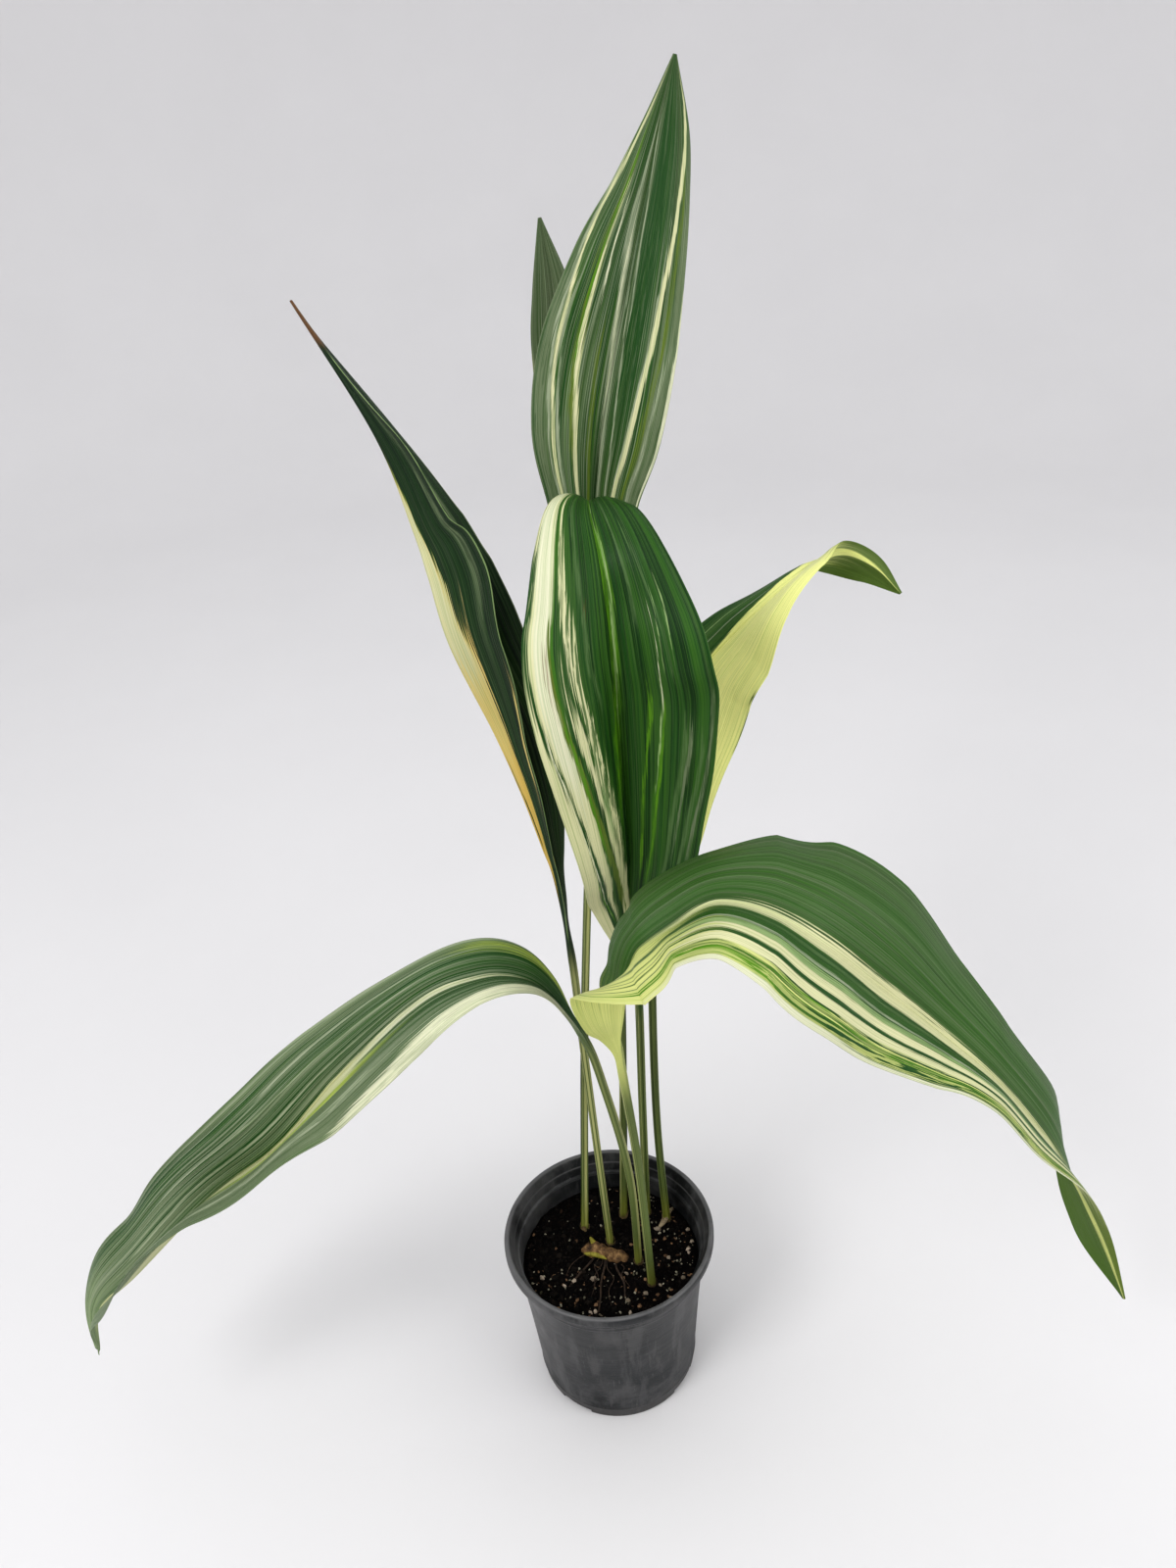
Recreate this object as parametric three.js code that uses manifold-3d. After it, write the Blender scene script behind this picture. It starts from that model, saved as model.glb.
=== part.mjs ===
import * as THREE from "three";
import Module from "manifold-3d";

// A potted cast iron plant: a tapered nursery pot, a plug of potting mix, a short
// rhizome with roots, and seven strap leaves, each grown as one piece with its stalk.
// Millimetres, Z up, the front of the plant towards -Y. The origin is the middle of
// the pot's underside.

const wasm = await Module();
wasm.setup();

// ---- driving dimensions ----
const rimRadius = 75;
const potHeight = 132;
const baseRadius = 57.5;
const wallThickness = 2;
const plateThickness = 2.5;
const lipHeight = 8;
const collarHeight = 20;
const potSides = 40;

const notchCount = 4;
const notchWidth = 24;
const notchHeight = 4;
const notchTurn = 54;

const soilLevel = 104;
const touchGap = 0.35;
const soilRelief = 1.1;
const crumbCount = 44;

const stalkRadius = 2.8;
const holeClearance = 0.5;
const holeSides = 10;
const holeLength = 26;
const holeDepth = 1.5;
const bladeThickness = 0.8;
const bladeStart = 45;
const keelDepth = 1.2;
const arch = 0.12;
const waveLength = 70;
const stepsPerStation = 3;

const rhizomeRadius = 5.6;
const rootRadius = 0.9;

const rhizomeRoute = [[-21, 9, 101], [-14, 6, 103], [-7, 1, 103.5], [1, -4, 103], [9, -10, 101.5]];
const shootRoute = [[-11, 6, 104], [-12, 8, 108], [-14, 10, 112]];
const rootRoutes = [
  [[-4, -3, 104], [-5, -12, 106], [-8, -24, 106.2], [-9, -36, 105.9], [-11, -47, 104.5]],
  [[-10, 1, 104], [-15, -7, 106], [-24, -17, 106], [-31, -25, 104.4]],
  [[3, -7, 103.5], [4, -15, 105.8], [8, -26, 106], [8, -37, 104.4]],
];

const potColour = 0x2b2b2d;
const soilColour = 0x1d1713;
const rhizomeColour = 0x9a7444;
const leafColour = 0x3f6a37;

// ---- the leaves ----
// Each station along a midrib, from the foot in the soil to the tip:
// x, y, z, half width on the left, half width on the right, the direction that the
// upper face looks in (x, y, z), and how many degrees each half is folded up.
// Left and right are as seen on the upper face with the tip upwards.
const leaves = {
  leaf_left_arching: {
    stalkStations: 4,
    wavePhase: 0.5,
    waveHeight: 0.45,
    stations: [
      [20, -8, 92, 3, 3, 0.4, -0.2, 0.9, 20],
      [18, -12, 196, 3, 3, 0.4, -0.2, 0.9, 20],
      [5, -21, 292, 3, 3, 0.4, -0.2, 0.9, 20],
      [-4, -27, 335, 3, 3, 0.4, -0.2, 0.9, 20],
      [-21, -31, 373, 9, 11, 0.4, -0.2, 0.9, 19],
      [-38, -35, 391, 16, 20, 0.3, -0.2, 0.9, 20],
      [-62, -40, 397, 24, 23, 0.2, -0.3, 0.9, 21],
      [-97, -43, 385, 37, 23, 0, -0.4, 0.9, 17],
      [-153, -39, 330, 42, 35, -0.3, -0.5, 0.8, 26],
      [-196, -48, 287, 36, 42, -0.7, -0.5, 0.5, 42],
      [-246, -46, 247, 31, 37, -0.9, -0.4, 0.2, 42],
      [-304, -60, 196, 25, 38, -1, -0.1, 0.1, 29],
      [-340, -55, 158, 15, 23, -0.9, -0.3, 0.3, 21],
      [-352, -54, 117, 4, 4, -0.7, -0.6, 0.4, 21],
    ],
  },
  leaf_right_arching: {
    stalkStations: 3,
    wavePhase: 2.4,
    waveHeight: 0.55,
    stations: [
      [28, -27, 92, 3, 3, -0.4, 0.7, 0.6, 20],
      [24, -36, 226, 3, 3, -0.4, 0.7, 0.6, 20],
      [18, -50, 321, 3, 3, -0.4, 0.7, 0.6, 20],
      [17, -54, 342, 4, 4, -0.6, 0.7, 0.5, 29],
      [17, -58, 359, 8, 10, -0.8, 0.5, 0.3, 45],
      [19, -65, 379, 16, 22, -0.9, 0.3, -0.1, 52],
      [21, -68, 394, 20, 29, -0.9, 0.2, 0.4, 56],
      [23, -70, 405, 21, 32, -0.8, 0.3, 0.5, 50],
      [26, -71, 418, 24, 32, -0.7, 0, 0.7, 27],
      [30, -72, 430, 27, 37, -0.5, -0.2, 0.8, 7],
      [36, -73, 437, 31, 38, -0.5, -0.2, 0.8, 7],
      [50, -72, 446, 36, 39, -0.3, -0.1, 0.9, 12],
      [73, -73, 460, 40, 47, 0.1, -0.1, 1, 4],
      [100, -77, 454, 57, 53, 0.7, -0.3, 0.7, 3],
      [128, -81, 434, 66, 51, 0.5, -0.5, 0.8, 0],
      [161, -71, 395, 61, 48, 0.4, -0.6, 0.7, 9],
      [199, -65, 353, 46, 40, 0.4, -0.5, 0.8, 13],
      [232, -71, 320, 34, 27, 0.4, -0.4, 0.8, 14],
      [265, -68, 273, 29, 21, 0.4, -0.5, 0.8, 11],
      [290, -67, 230, 23, 13, 0.6, 0, 0.8, 7],
      [314, -61, 181, 17, 8, 0.5, 0.7, 0.5, 2],
      [334, -55, 136, 15, 5, 0.4, 0.9, 0.2, 4],
      [352, -57, 87, 1, 1, 0.4, 0.9, 0.1, 14],
    ],
  },
  leaf_front: {
    stalkStations: 3,
    wavePhase: 0,
    waveHeight: 0.9,
    stations: [
      [29, 34, 92, 3, 3, 0, -1, 0.2, 20],
      [31, 30, 216, 3, 3, 0, -1, 0.2, 20],
      [33, 24, 318, 3, 3, 0, -1, 0.2, 20],
      [31, 21, 353, 7, 14, 0, -1, 0.2, 21],
      [31, 19, 401, 25, 27, 0.1, -1, 0.2, 24],
      [32, 11, 445, 41, 42, 0.2, -0.9, 0.3, 34],
      [31, 1, 535, 57, 55, 0.2, -0.9, 0.4, 29],
      [30, -5, 573, 57, 53, 0.1, -0.8, 0.5, 27],
      [29, 0, 600, 49, 44, 0.1, -0.8, 0.6, 20],
      [27, 9, 625, 37, 33, 0.1, -0.7, 0.7, 13],
      [24, 32, 641, 24, 23, 0.1, -0.6, 0.8, 10],
      [24, 56, 640, 9, 11, 0.1, -0.5, 0.9, 12],
      [23, 74, 612, 1, 1, 0.1, -0.3, 0.9, 11],
    ],
  },
  leaf_tallest: {
    stalkStations: 4,
    wavePhase: 1.2,
    waveHeight: 0.75,
    stations: [
      [11, 33, 92, 3, 3, 0, -0.9, 0.4, 20],
      [19, 49, 225, 3, 3, 0, -0.9, 0.4, 20],
      [24, 62, 340, 3, 3, 0, -0.9, 0.4, 20],
      [23, 73, 440, 3, 3, 0, -0.9, 0.4, 22],
      [24, 80, 505, 15, 16, 0, -0.9, 0.4, 26],
      [26, 90, 566, 25, 26, 0, -0.9, 0.4, 28],
      [28, 101, 622, 30, 28, 0, -0.9, 0.4, 31],
      [35, 103, 665, 42, 36, 0, -0.9, 0.4, 22],
      [46, 110, 708, 44, 36, 0, -0.9, 0.4, 19],
      [58, 116, 753, 34, 30, 0.1, -0.9, 0.4, 17],
      [68, 122, 787, 20, 24, 0.1, -0.9, 0.4, 15],
      [77, 127, 818, 9, 16, 0, -0.9, 0.4, 9],
      [86, 127, 848, 1, 1, 0, -0.9, 0.4, 6],
    ],
  },
  leaf_back: {
    stalkStations: 3,
    wavePhase: 3,
    waveHeight: 0.75,
    stations: [
      [-19, 22, 92, 3, 3, 0.3, -0.9, 0.3, 20],
      [-6, 65, 252, 3, 3, 0.3, -0.9, 0.3, 20],
      [8, 98, 389, 3, 3, 0.3, -0.9, 0.3, 21],
      [12, 108, 431, 9, 11, 0.3, -0.9, 0.3, 23],
      [12, 120, 485, 14, 22, 0.3, -0.9, 0.3, 21],
      [14, 139, 603, 15, 26, 0.3, -0.9, 0.3, 17],
      [15, 150, 697, 19, 20, 0.3, -0.9, 0.3, 14],
      [14, 153, 741, 13, 10, 0.3, -0.9, 0.3, 11],
      [10, 156, 776, 1, 1, 0.3, -0.9, 0.3, 5],
    ],
  },
  leaf_narrow: {
    stalkStations: 4,
    wavePhase: 4,
    waveHeight: 0.4,
    stations: [
      [1, 9, 92, 3, 3, 0.9, -0.1, 0.4, 20],
      [-3, 14, 204, 3, 3, 0.9, -0.1, 0.4, 20],
      [-6, 22, 291, 3, 3, 0.9, -0.1, 0.4, 20],
      [-8, 27, 356, 3, 3, 0.9, -0.1, 0.4, 20],
      [-13, 26, 414, 5, 8, 0.9, -0.1, 0.4, 33],
      [-19, 30, 439, 9, 17, 0.9, -0.1, 0.5, 46],
      [-28, 32, 476, 16, 29, 0.9, -0.2, 0.5, 58],
      [-40, 36, 515, 23, 39, 0.8, -0.2, 0.5, 65],
      [-58, 29, 574, 37, 41, 0.9, -0.2, 0.5, 67],
      [-65, 34, 612, 41, 36, 0.9, -0.1, 0.3, 64],
      [-71, 44, 636, 33, 31, 1, -0.1, 0.2, 52],
      [-85, 54, 685, 21, 18, 1, 0.1, 0.1, 32],
      [-115, 47, 755, 3, 1, 1, 0.2, 0.1, 5],
    ],
  },
  leaf_right_twisted: {
    stalkStations: 4,
    wavePhase: 5,
    waveHeight: 0.5,
    stations: [
      [44, 25, 92, 3, 3, -0.1, -0.9, 0.3, 20],
      [41, 38, 188, 3, 3, -0.1, -0.9, 0.3, 20],
      [43, 51, 285, 3, 3, -0.1, -0.9, 0.3, 20],
      [47, 58, 350, 3, 3, -0.1, -0.9, 0.3, 20],
      [52, 65, 405, 12, 26, -0.1, -0.9, 0.3, 19],
      [60, 72, 451, 20, 34, -0.1, -0.9, 0.4, 20],
      [70, 79, 489, 23, 40, 0, -0.9, 0.5, 19],
      [85, 85, 519, 22, 40, 0, -0.8, 0.7, 17],
      [105, 89, 540, 19, 37, 0.1, -0.5, 0.9, 10],
      [129, 95, 559, 16, 29, 0.1, 0, 1, 6],
      [154, 104, 574, 15, 21, 0.2, 0.4, 0.9, 5],
      [178, 117, 578, 20, 11, 0.1, 0.9, 0.5, 7],
      [199, 119, 568, 14, 7, 0.1, 1, 0.2, 5],
      [218, 121, 548, 1, 1, 0.1, 1, 0, 2],
    ],
  },
};

// ---- helpers ----
function seededRandom(seed) {
  let state = seed;
  return () => {
    state = (state * 16807) % 2147483647;
    return state / 2147483647;
  };
}

function geometryFrom(points, faces) {
  const geometry = new THREE.BufferGeometry();
  geometry.setAttribute("position", new THREE.Float32BufferAttribute(points.flat(), 3));
  geometry.setIndex(faces.flat());
  return geometry;
}

function toSolid(geometry) {
  const position = geometry.getAttribute("position");
  const found = new Map();
  const points = [];
  const merged = [];
  for (let i = 0; i < position.count; i += 1) {
    const point = [position.getX(i), position.getY(i), position.getZ(i)];
    const key = point.map((value) => Math.round(value * 10000)).join(",");
    if (!found.has(key)) {
      found.set(key, found.size);
      points.push(...point);
    }
    merged.push(found.get(key));
  }
  const order = geometry.index ? Array.from(geometry.index.array) : merged.map((_, i) => i);
  const corners = [];
  for (let i = 0; i < order.length; i += 3) {
    const [a, b, c] = [merged[order[i]], merged[order[i + 1]], merged[order[i + 2]]];
    if (a !== b && b !== c && c !== a) corners.push(a, b, c);
  }
  return new wasm.Manifold(new wasm.Mesh({
    numProp: 3,
    vertProperties: new Float32Array(points),
    triVerts: new Uint32Array(corners),
  }));
}

function fromSolid(solid) {
  const mesh = solid.getMesh();
  const geometry = new THREE.BufferGeometry();
  geometry.setAttribute("position", new THREE.BufferAttribute(new Float32Array(mesh.vertProperties), 3));
  geometry.setIndex(Array.from(mesh.triVerts));
  return geometry;
}

// A closed body through a row of rings. The second half of each ring takes the other
// diagonal, so that the two faces of a thin blade are split alike.
function loftRings(rings) {
  const sides = rings[0].length;
  const points = rings.flat();
  const faces = [];
  for (let i = 0; i < rings.length - 1; i += 1) {
    for (let j = 0; j < sides; j += 1) {
      const a = i * sides + j;
      const b = i * sides + ((j + 1) % sides);
      const c = a + sides;
      const d = b + sides;
      if (j < sides / 2) faces.push([a, b, d], [a, d, c]);
      else faces.push([a, b, c], [b, d, c]);
    }
  }
  const last = (rings.length - 1) * sides;
  for (let j = 0; j < sides / 2 - 1; j += 1) {
    const facing = sides - 1 - j;
    faces.push([j, facing, j + 1], [j + 1, facing, facing - 1]);
    faces.push([last + j, last + j + 1, last + facing], [last + j + 1, last + facing - 1, last + facing]);
  }
  return geometryFrom(points, faces);
}

// Catmull-Rom through whole stations, with the ends carried on in a straight line
function stationAt(stations, t) {
  const last = stations.length - 1;
  const scaled = Math.min(Math.max(t, 0), 1) * last;
  const i = Math.min(Math.floor(scaled), last - 1);
  const f = scaled - i;
  const beyond = (from, towards) => from.map((value, k) => 2 * value - towards[k]);
  const b = stations[i];
  const c = stations[i + 1];
  const a = i > 0 ? stations[i - 1] : beyond(b, c);
  const d = i + 2 <= last ? stations[i + 2] : beyond(c, b);
  return b.map((_, k) => 0.5 * (2 * b[k] + (c[k] - a[k]) * f
    + (2 * a[k] - 5 * b[k] + 4 * c[k] - d[k]) * f * f
    + (3 * b[k] - a[k] - 3 * c[k] + d[k]) * f * f * f));
}

// Where a leaf runs at t: centre, direction, upper normal, side, half widths and fold
function leafFrame(stations, t) {
  const step = 0.001;
  const here = stationAt(stations, t);
  const centre = new THREE.Vector3(here[0], here[1], here[2]);
  const ahead = new THREE.Vector3(...stationAt(stations, t + step).slice(0, 3));
  const behind = new THREE.Vector3(...stationAt(stations, t - step).slice(0, 3));
  const along = ahead.sub(behind).normalize();
  const normal = new THREE.Vector3(here[5], here[6], here[7]);
  normal.addScaledVector(along, -normal.dot(along)).normalize();
  const side = new THREE.Vector3().crossVectors(along, normal);
  return {
    centre,
    normal,
    side,
    left: Math.max(here[3], 0.8),
    right: Math.max(here[4], 0.8),
    fold: THREE.MathUtils.degToRad(here[8]),
  };
}

function place(frame, across, up) {
  const point = frame.centre.clone();
  point.addScaledVector(frame.side, across);
  point.addScaledVector(frame.normal, up);
  return point.toArray();
}

// ---- leaf: a channelled round stalk that opens into a thin folded blade ----
const bladeAcross = [-1, -0.5, 0, 0.5, 1];

function leafRings(leaf) {
  const steps = (leaf.stations.length - 1) * stepsPerStation;
  const frames = [];
  const reach = [];
  for (let i = 0; i <= steps; i += 1) {
    frames.push(leafFrame(leaf.stations, i / steps));
    reach.push(i === 0 ? 0 : reach[i - 1] + frames[i].centre.distanceTo(frames[i - 1].centre));
  }
  const start = reach[(leaf.stalkStations - 1) * stepsPerStation];
  return frames.map((frame, i) => {
    const blade = THREE.MathUtils.smoothstep(reach[i], start - 5, start + bladeStart);
    const towardsTip = (reach[i] - start) / (reach[steps] - start);
    const keel = keelDepth * THREE.MathUtils.clamp(1 - towardsTip, 0.2, 1);
    const upper = [];
    const lower = [];
    bladeAcross.forEach((u, j) => {
      const half = u < 0 ? frame.left : frame.right;
      const fold = frame.fold * blade;
      const out = Math.abs(u) * half;
      const phase = leaf.wavePhase + (u < 0 ? 0 : 2.1);
      const wave = leaf.waveHeight * blade * Math.min(1, half / 20) * u * u
        * Math.sin((2 * Math.PI * reach[i]) / waveLength + phase);
      const rise = out * Math.sin(fold) + arch * half * Math.sin(Math.PI * Math.abs(u)) * blade + wave;
      const sideways = Math.sign(u) * out * Math.cos(fold);
      const leanIn = -Math.sign(u) * Math.sin(fold) * (bladeThickness / 2);
      const upright = (u === 0 ? 1 : Math.cos(fold)) * (bladeThickness / 2);
      const angle = Math.PI - (j + 0.5) * (Math.PI / bladeAcross.length);
      const roundAcross = stalkRadius * Math.cos(angle);
      const roundUp = stalkRadius * Math.sin(angle);
      const channel = u === 0 ? 0.6 : 1;
      const mix = (stalk, flat) => stalk + (flat - stalk) * blade;
      upper.push(place(frame, mix(roundAcross, sideways + leanIn), mix(roundUp * channel, rise + upright)));
      const under = u === 0 ? upright + keel * blade : upright;
      lower.push(place(frame, mix(roundAcross, sideways - leanIn), mix(-roundUp, rise - under)));
    });
    return [...upper, ...lower.reverse()];
  });
}

// ---- stem hole: the stalk's own route, a little wider and a little deeper ----
function stemHole(leaf) {
  const radius = stalkRadius + holeClearance;
  const run = leaf.stations[0].slice(0, 3).map((value, k) => leaf.stations[1][k] - value);
  const stationLength = Math.hypot(...run);
  const share = holeLength / stationLength / (leaf.stations.length - 1);
  const rings = [0, 1, 2, 3, 4].map((k) => {
    const frame = leafFrame(leaf.stations, (share * k) / 4);
    if (k === 0) frame.centre.z -= holeDepth;
    const ring = [];
    for (let i = 0; i < holeSides; i += 1) {
      const angle = Math.PI - (2 * Math.PI * i) / holeSides;
      ring.push(place(frame, radius * Math.cos(angle), radius * Math.sin(angle)));
    }
    return ring;
  });
  return toSolid(loftRings(rings));
}

// ---- pot ----
const wallTop = baseRadius + 9.5;
const collarOuter = wallTop + 1.6;
const collarInner = collarOuter - wallThickness;
const collarFoot = potHeight - collarHeight;
const lipFoot = potHeight - lipHeight;
const ledge = collarFoot + 5.5;
const innerBase = baseRadius - wallThickness;
const innerTop = wallTop - wallThickness;

function innerWallAt(z) {
  return innerBase + ((innerTop - innerBase) * (z - plateThickness)) / (ledge - plateThickness);
}

function makePot() {
  const profile = [
    [0, 0],
    [baseRadius - 2, 0],
    [baseRadius, 1.5],
    [baseRadius + 0.6, 9.5],
    [baseRadius + 1.1, 10.3],
    [baseRadius + 1, 11.2],
    [wallTop, collarFoot - 2],
    [collarOuter, collarFoot],
    [collarOuter + 0.9, lipFoot],
    [rimRadius - 1.2, lipFoot],
    [rimRadius, lipFoot + 1.4],
    [rimRadius, potHeight - 2],
    [rimRadius - 1.4, potHeight],
    [rimRadius - 3, potHeight - 0.3],
    [rimRadius - 4.2, potHeight - 2.2],
    [collarInner + 1.2, lipFoot - 1],
    [collarInner, ledge + 1],
    [innerTop, ledge],
    [innerBase, plateThickness],
    [0, plateThickness],
  ].map(([r, z]) => new THREE.Vector2(r, z));
  const body = new THREE.LatheGeometry(profile, potSides);
  body.rotateX(Math.PI / 2);
  let pot = toSolid(body);
  for (let i = 0; i < notchCount; i += 1) {
    const notch = new THREE.BoxGeometry(notchWidth, 14, notchHeight * 2);
    notch.translate(0, -baseRadius, 0);
    notch.rotateZ(THREE.MathUtils.degToRad(notchTurn + (360 / notchCount) * i));
    pot = pot.subtract(toSolid(notch));
  }
  return fromSolid(pot);
}

// ---- potting mix: a plug with an uneven top, crumbs sunk in it and stem holes ----
function soilHeight(x, y) {
  const wide = Math.sin(x * 0.11 + 1.3) * Math.cos(y * 0.13 - 0.4);
  const fine = Math.sin(x * 0.37 + y * 0.21) * Math.cos(y * 0.33 - x * 0.09 + 2);
  return soilLevel + soilRelief * (0.6 * wide + 0.4 * fine);
}

function makeSoilPlug() {
  const circles = [10, 21, 32, 43, 54, innerWallAt(soilLevel) - touchGap];
  const sides = 36;
  const points = [[0, 0, soilHeight(0, 0)]];
  const faces = [];
  circles.forEach((radius, ring) => {
    for (let i = 0; i < sides; i += 1) {
      const angle = (2 * Math.PI * (i + (ring % 2) / 2)) / sides;
      const x = radius * Math.cos(angle);
      const y = radius * Math.sin(angle);
      const isEdge = ring === circles.length - 1;
      points.push([x, y, isEdge ? soilLevel - 0.8 : soilHeight(x, y)]);
    }
  });
  for (let i = 0; i < sides; i += 1) faces.push([0, 1 + i, 1 + ((i + 1) % sides)]);
  for (let ring = 0; ring < circles.length - 1; ring += 1) {
    const from = 1 + ring * sides;
    const to = from + sides;
    for (let i = 0; i < sides; i += 1) {
      const next = (i + 1) % sides;
      if (ring % 2 === 0) {
        faces.push([from + i, to + i, from + next], [from + next, to + i, to + next]);
      } else {
        faces.push([from + i, to + i, to + next], [from + i, to + next, from + next]);
      }
    }
  }
  const edge = 1 + (circles.length - 1) * sides;
  const bottomRadius = innerWallAt(plateThickness + touchGap) - touchGap;
  const shift = ((circles.length - 1) % 2) / 2;
  const low = points.length;
  for (let i = 0; i < sides; i += 1) {
    const angle = (2 * Math.PI * (i + shift)) / sides;
    points.push([
      bottomRadius * Math.cos(angle),
      bottomRadius * Math.sin(angle),
      plateThickness + touchGap,
    ]);
  }
  const middle = points.length;
  points.push([0, 0, plateThickness + touchGap]);
  for (let i = 0; i < sides; i += 1) {
    const next = (i + 1) % sides;
    faces.push([edge + i, low + i, edge + next], [edge + next, low + i, low + next]);
    faces.push([middle, low + next, low + i]);
  }
  return toSolid(geometryFrom(points, faces));
}

// Where the stems, the rhizome and its roots cross the soil, with the room each needs
function keptClear() {
  const spots = Object.values(leaves).map(({ stations: [foot] }) => [foot[0], foot[1], stalkRadius]);
  const along = (route, radius) => {
    const curve = new THREE.CatmullRomCurve3(route.map((point) => new THREE.Vector3(...point)));
    for (const point of curve.getPoints(16)) spots.push([point.x, point.y, radius]);
  };
  along(rhizomeRoute, rhizomeRadius + 1);
  for (const route of rootRoutes) along(route, rootRadius);
  return spots;
}

// Bark and perlite crumbs, most of them away from the stems
function addCrumbs(plug) {
  const random = seededRandom(20417);
  const spots = keptClear();
  const room = 1.5;
  let solid = plug;
  let placed = 0;
  while (placed < crumbCount) {
    const angle = 2 * Math.PI * random();
    const radius = 12 + 46 * Math.sqrt(random());
    const size = 1.4 + 1.6 * random();
    const crumb = new THREE.OctahedronGeometry(size);
    crumb.rotateX(3 * random());
    crumb.rotateY(3 * random());
    const x = radius * Math.cos(angle);
    const y = radius * Math.sin(angle);
    if (spots.some(([sx, sy, r]) => Math.hypot(x - sx, y - sy) < r + size + room)) continue;
    crumb.translate(x, y, soilHeight(x, y) - 0.15 * size);
    solid = solid.add(toSolid(crumb));
    placed += 1;
  }
  return solid;
}

// ---- rhizome: a knobbly ringed piece with a shoot and roots that run forward ----
function tubeRings(route, radiusAt, sides, segments) {
  const curve = new THREE.CatmullRomCurve3(route.map((point) => new THREE.Vector3(...point)));
  const up = new THREE.Vector3(0, 0, 1);
  const rings = [];
  for (let i = 0; i <= segments; i += 1) {
    const t = i / segments;
    const centre = curve.getPoint(t);
    const along = curve.getTangent(t);
    const side = new THREE.Vector3().crossVectors(along, up);
    if (side.length() < 0.1) side.set(1, 0, 0);
    side.normalize();
    const normal = new THREE.Vector3().crossVectors(side, along);
    const ring = [];
    for (let j = 0; j < sides; j += 1) {
      const angle = Math.PI - (2 * Math.PI * j) / sides;
      const radius = radiusAt(t, angle);
      const point = centre.clone();
      point.addScaledVector(side, radius * Math.cos(angle));
      point.addScaledVector(normal, radius * Math.sin(angle));
      ring.push(point.toArray());
    }
    rings.push(ring);
  }
  return rings;
}

function rhizomeRadiusAt(t, angle) {
  const ends = Math.sqrt(Math.max(0.06, 1 - Math.pow(2 * t - 1, 4)));
  const scars = 1 + 0.08 * Math.cos(2 * Math.PI * 6 * t);
  const knobs = 1 + 0.13 * Math.sin(2 * angle + 9 * t) + 0.07 * Math.sin(3 * angle - 14 * t);
  return rhizomeRadius * ends * scars * knobs;
}

function makeRhizome(extra) {
  const grown = (t, angle) => rhizomeRadiusAt(t, angle) + extra;
  let solid = toSolid(loftRings(tubeRings(rhizomeRoute, grown, 10, 18)));
  const shoot = (t) => 2.6 * (1 - 0.65 * t) + extra;
  solid = solid.add(toSolid(loftRings(tubeRings(shootRoute, shoot, 8, 5))));
  for (const route of rootRoutes) {
    const thin = (t) => rootRadius * (1 - 0.35 * t) + extra;
    solid = solid.add(toSolid(loftRings(tubeRings(route, thin, 6, 8))));
  }
  return solid;
}

function makeSoil() {
  let solid = addCrumbs(makeSoilPlug());
  for (const leaf of Object.values(leaves)) solid = solid.subtract(stemHole(leaf));
  return fromSolid(solid.subtract(makeRhizome(touchGap + 0.15)));
}

// ---- the plant ----
const group = new THREE.Group();
group.name = "potted_cast_iron_plant";

function addPiece(name, geometry, color, roughness) {
  geometry.computeVertexNormals();
  const material = new THREE.MeshStandardMaterial({ color, roughness, metalness: 0 });
  material.name = name;
  const mesh = new THREE.Mesh(geometry, material);
  mesh.name = name;
  group.add(mesh);
}

addPiece("pot", makePot(), potColour, 0.55);
addPiece("soil", makeSoil(), soilColour, 0.95);
addPiece("rhizome", fromSolid(makeRhizome(0)), rhizomeColour, 0.8);
for (const [name, leaf] of Object.entries(leaves)) {
  addPiece(name, loftRings(leafRings(leaf)), leafColour, 0.45);
}

export default group;
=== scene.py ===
import bpy
import bmesh
import math
import random
from mathutils import Matrix, Vector, noise


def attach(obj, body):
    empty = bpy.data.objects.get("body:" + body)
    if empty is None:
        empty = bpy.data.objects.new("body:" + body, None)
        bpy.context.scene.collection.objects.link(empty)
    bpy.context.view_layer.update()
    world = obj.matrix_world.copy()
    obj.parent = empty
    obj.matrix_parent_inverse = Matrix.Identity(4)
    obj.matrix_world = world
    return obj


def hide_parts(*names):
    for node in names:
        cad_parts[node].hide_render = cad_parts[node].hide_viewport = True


# Potted cast iron plant. The CAD pack is the frame, and the pieces below are its finer pot,
# soil, rootstock and leaves. Sizes are in metres, and routes and stations in millimetres.

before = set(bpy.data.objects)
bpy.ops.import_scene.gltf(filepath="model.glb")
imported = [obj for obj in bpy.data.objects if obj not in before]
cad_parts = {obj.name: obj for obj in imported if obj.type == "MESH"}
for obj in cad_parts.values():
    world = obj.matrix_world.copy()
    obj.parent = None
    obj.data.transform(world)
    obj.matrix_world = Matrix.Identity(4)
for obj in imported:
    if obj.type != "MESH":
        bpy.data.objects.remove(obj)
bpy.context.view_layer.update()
mm = 0.001
scene = bpy.context.scene
noise.seed_set(7)  # without a seed noise_vector differs from run to run
print("frame loaded")


def smooth(value, low, high):
    t = min(max((value - low) / (high - low), 0.0), 1.0)
    return t * t * (3 - 2 * t)


def meshObject(name, bm, material=None, smoothFaces=True):
    for face in bm.faces:
        face.smooth = smoothFaces
    mesh = bpy.data.meshes.new(name)
    bm.to_mesh(mesh)
    bm.free()
    if material:
        mesh.materials.append(material)
    made = bpy.data.objects.new(name, mesh)
    scene.collection.objects.link(made)
    return made


def meshPiece(name, bm, material, replaced=None, smoothFaces=True):
    piece = meshObject(name, bm, material, smoothFaces)
    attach(piece, "root")
    if replaced:
        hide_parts(replaced)
    return piece


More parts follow.
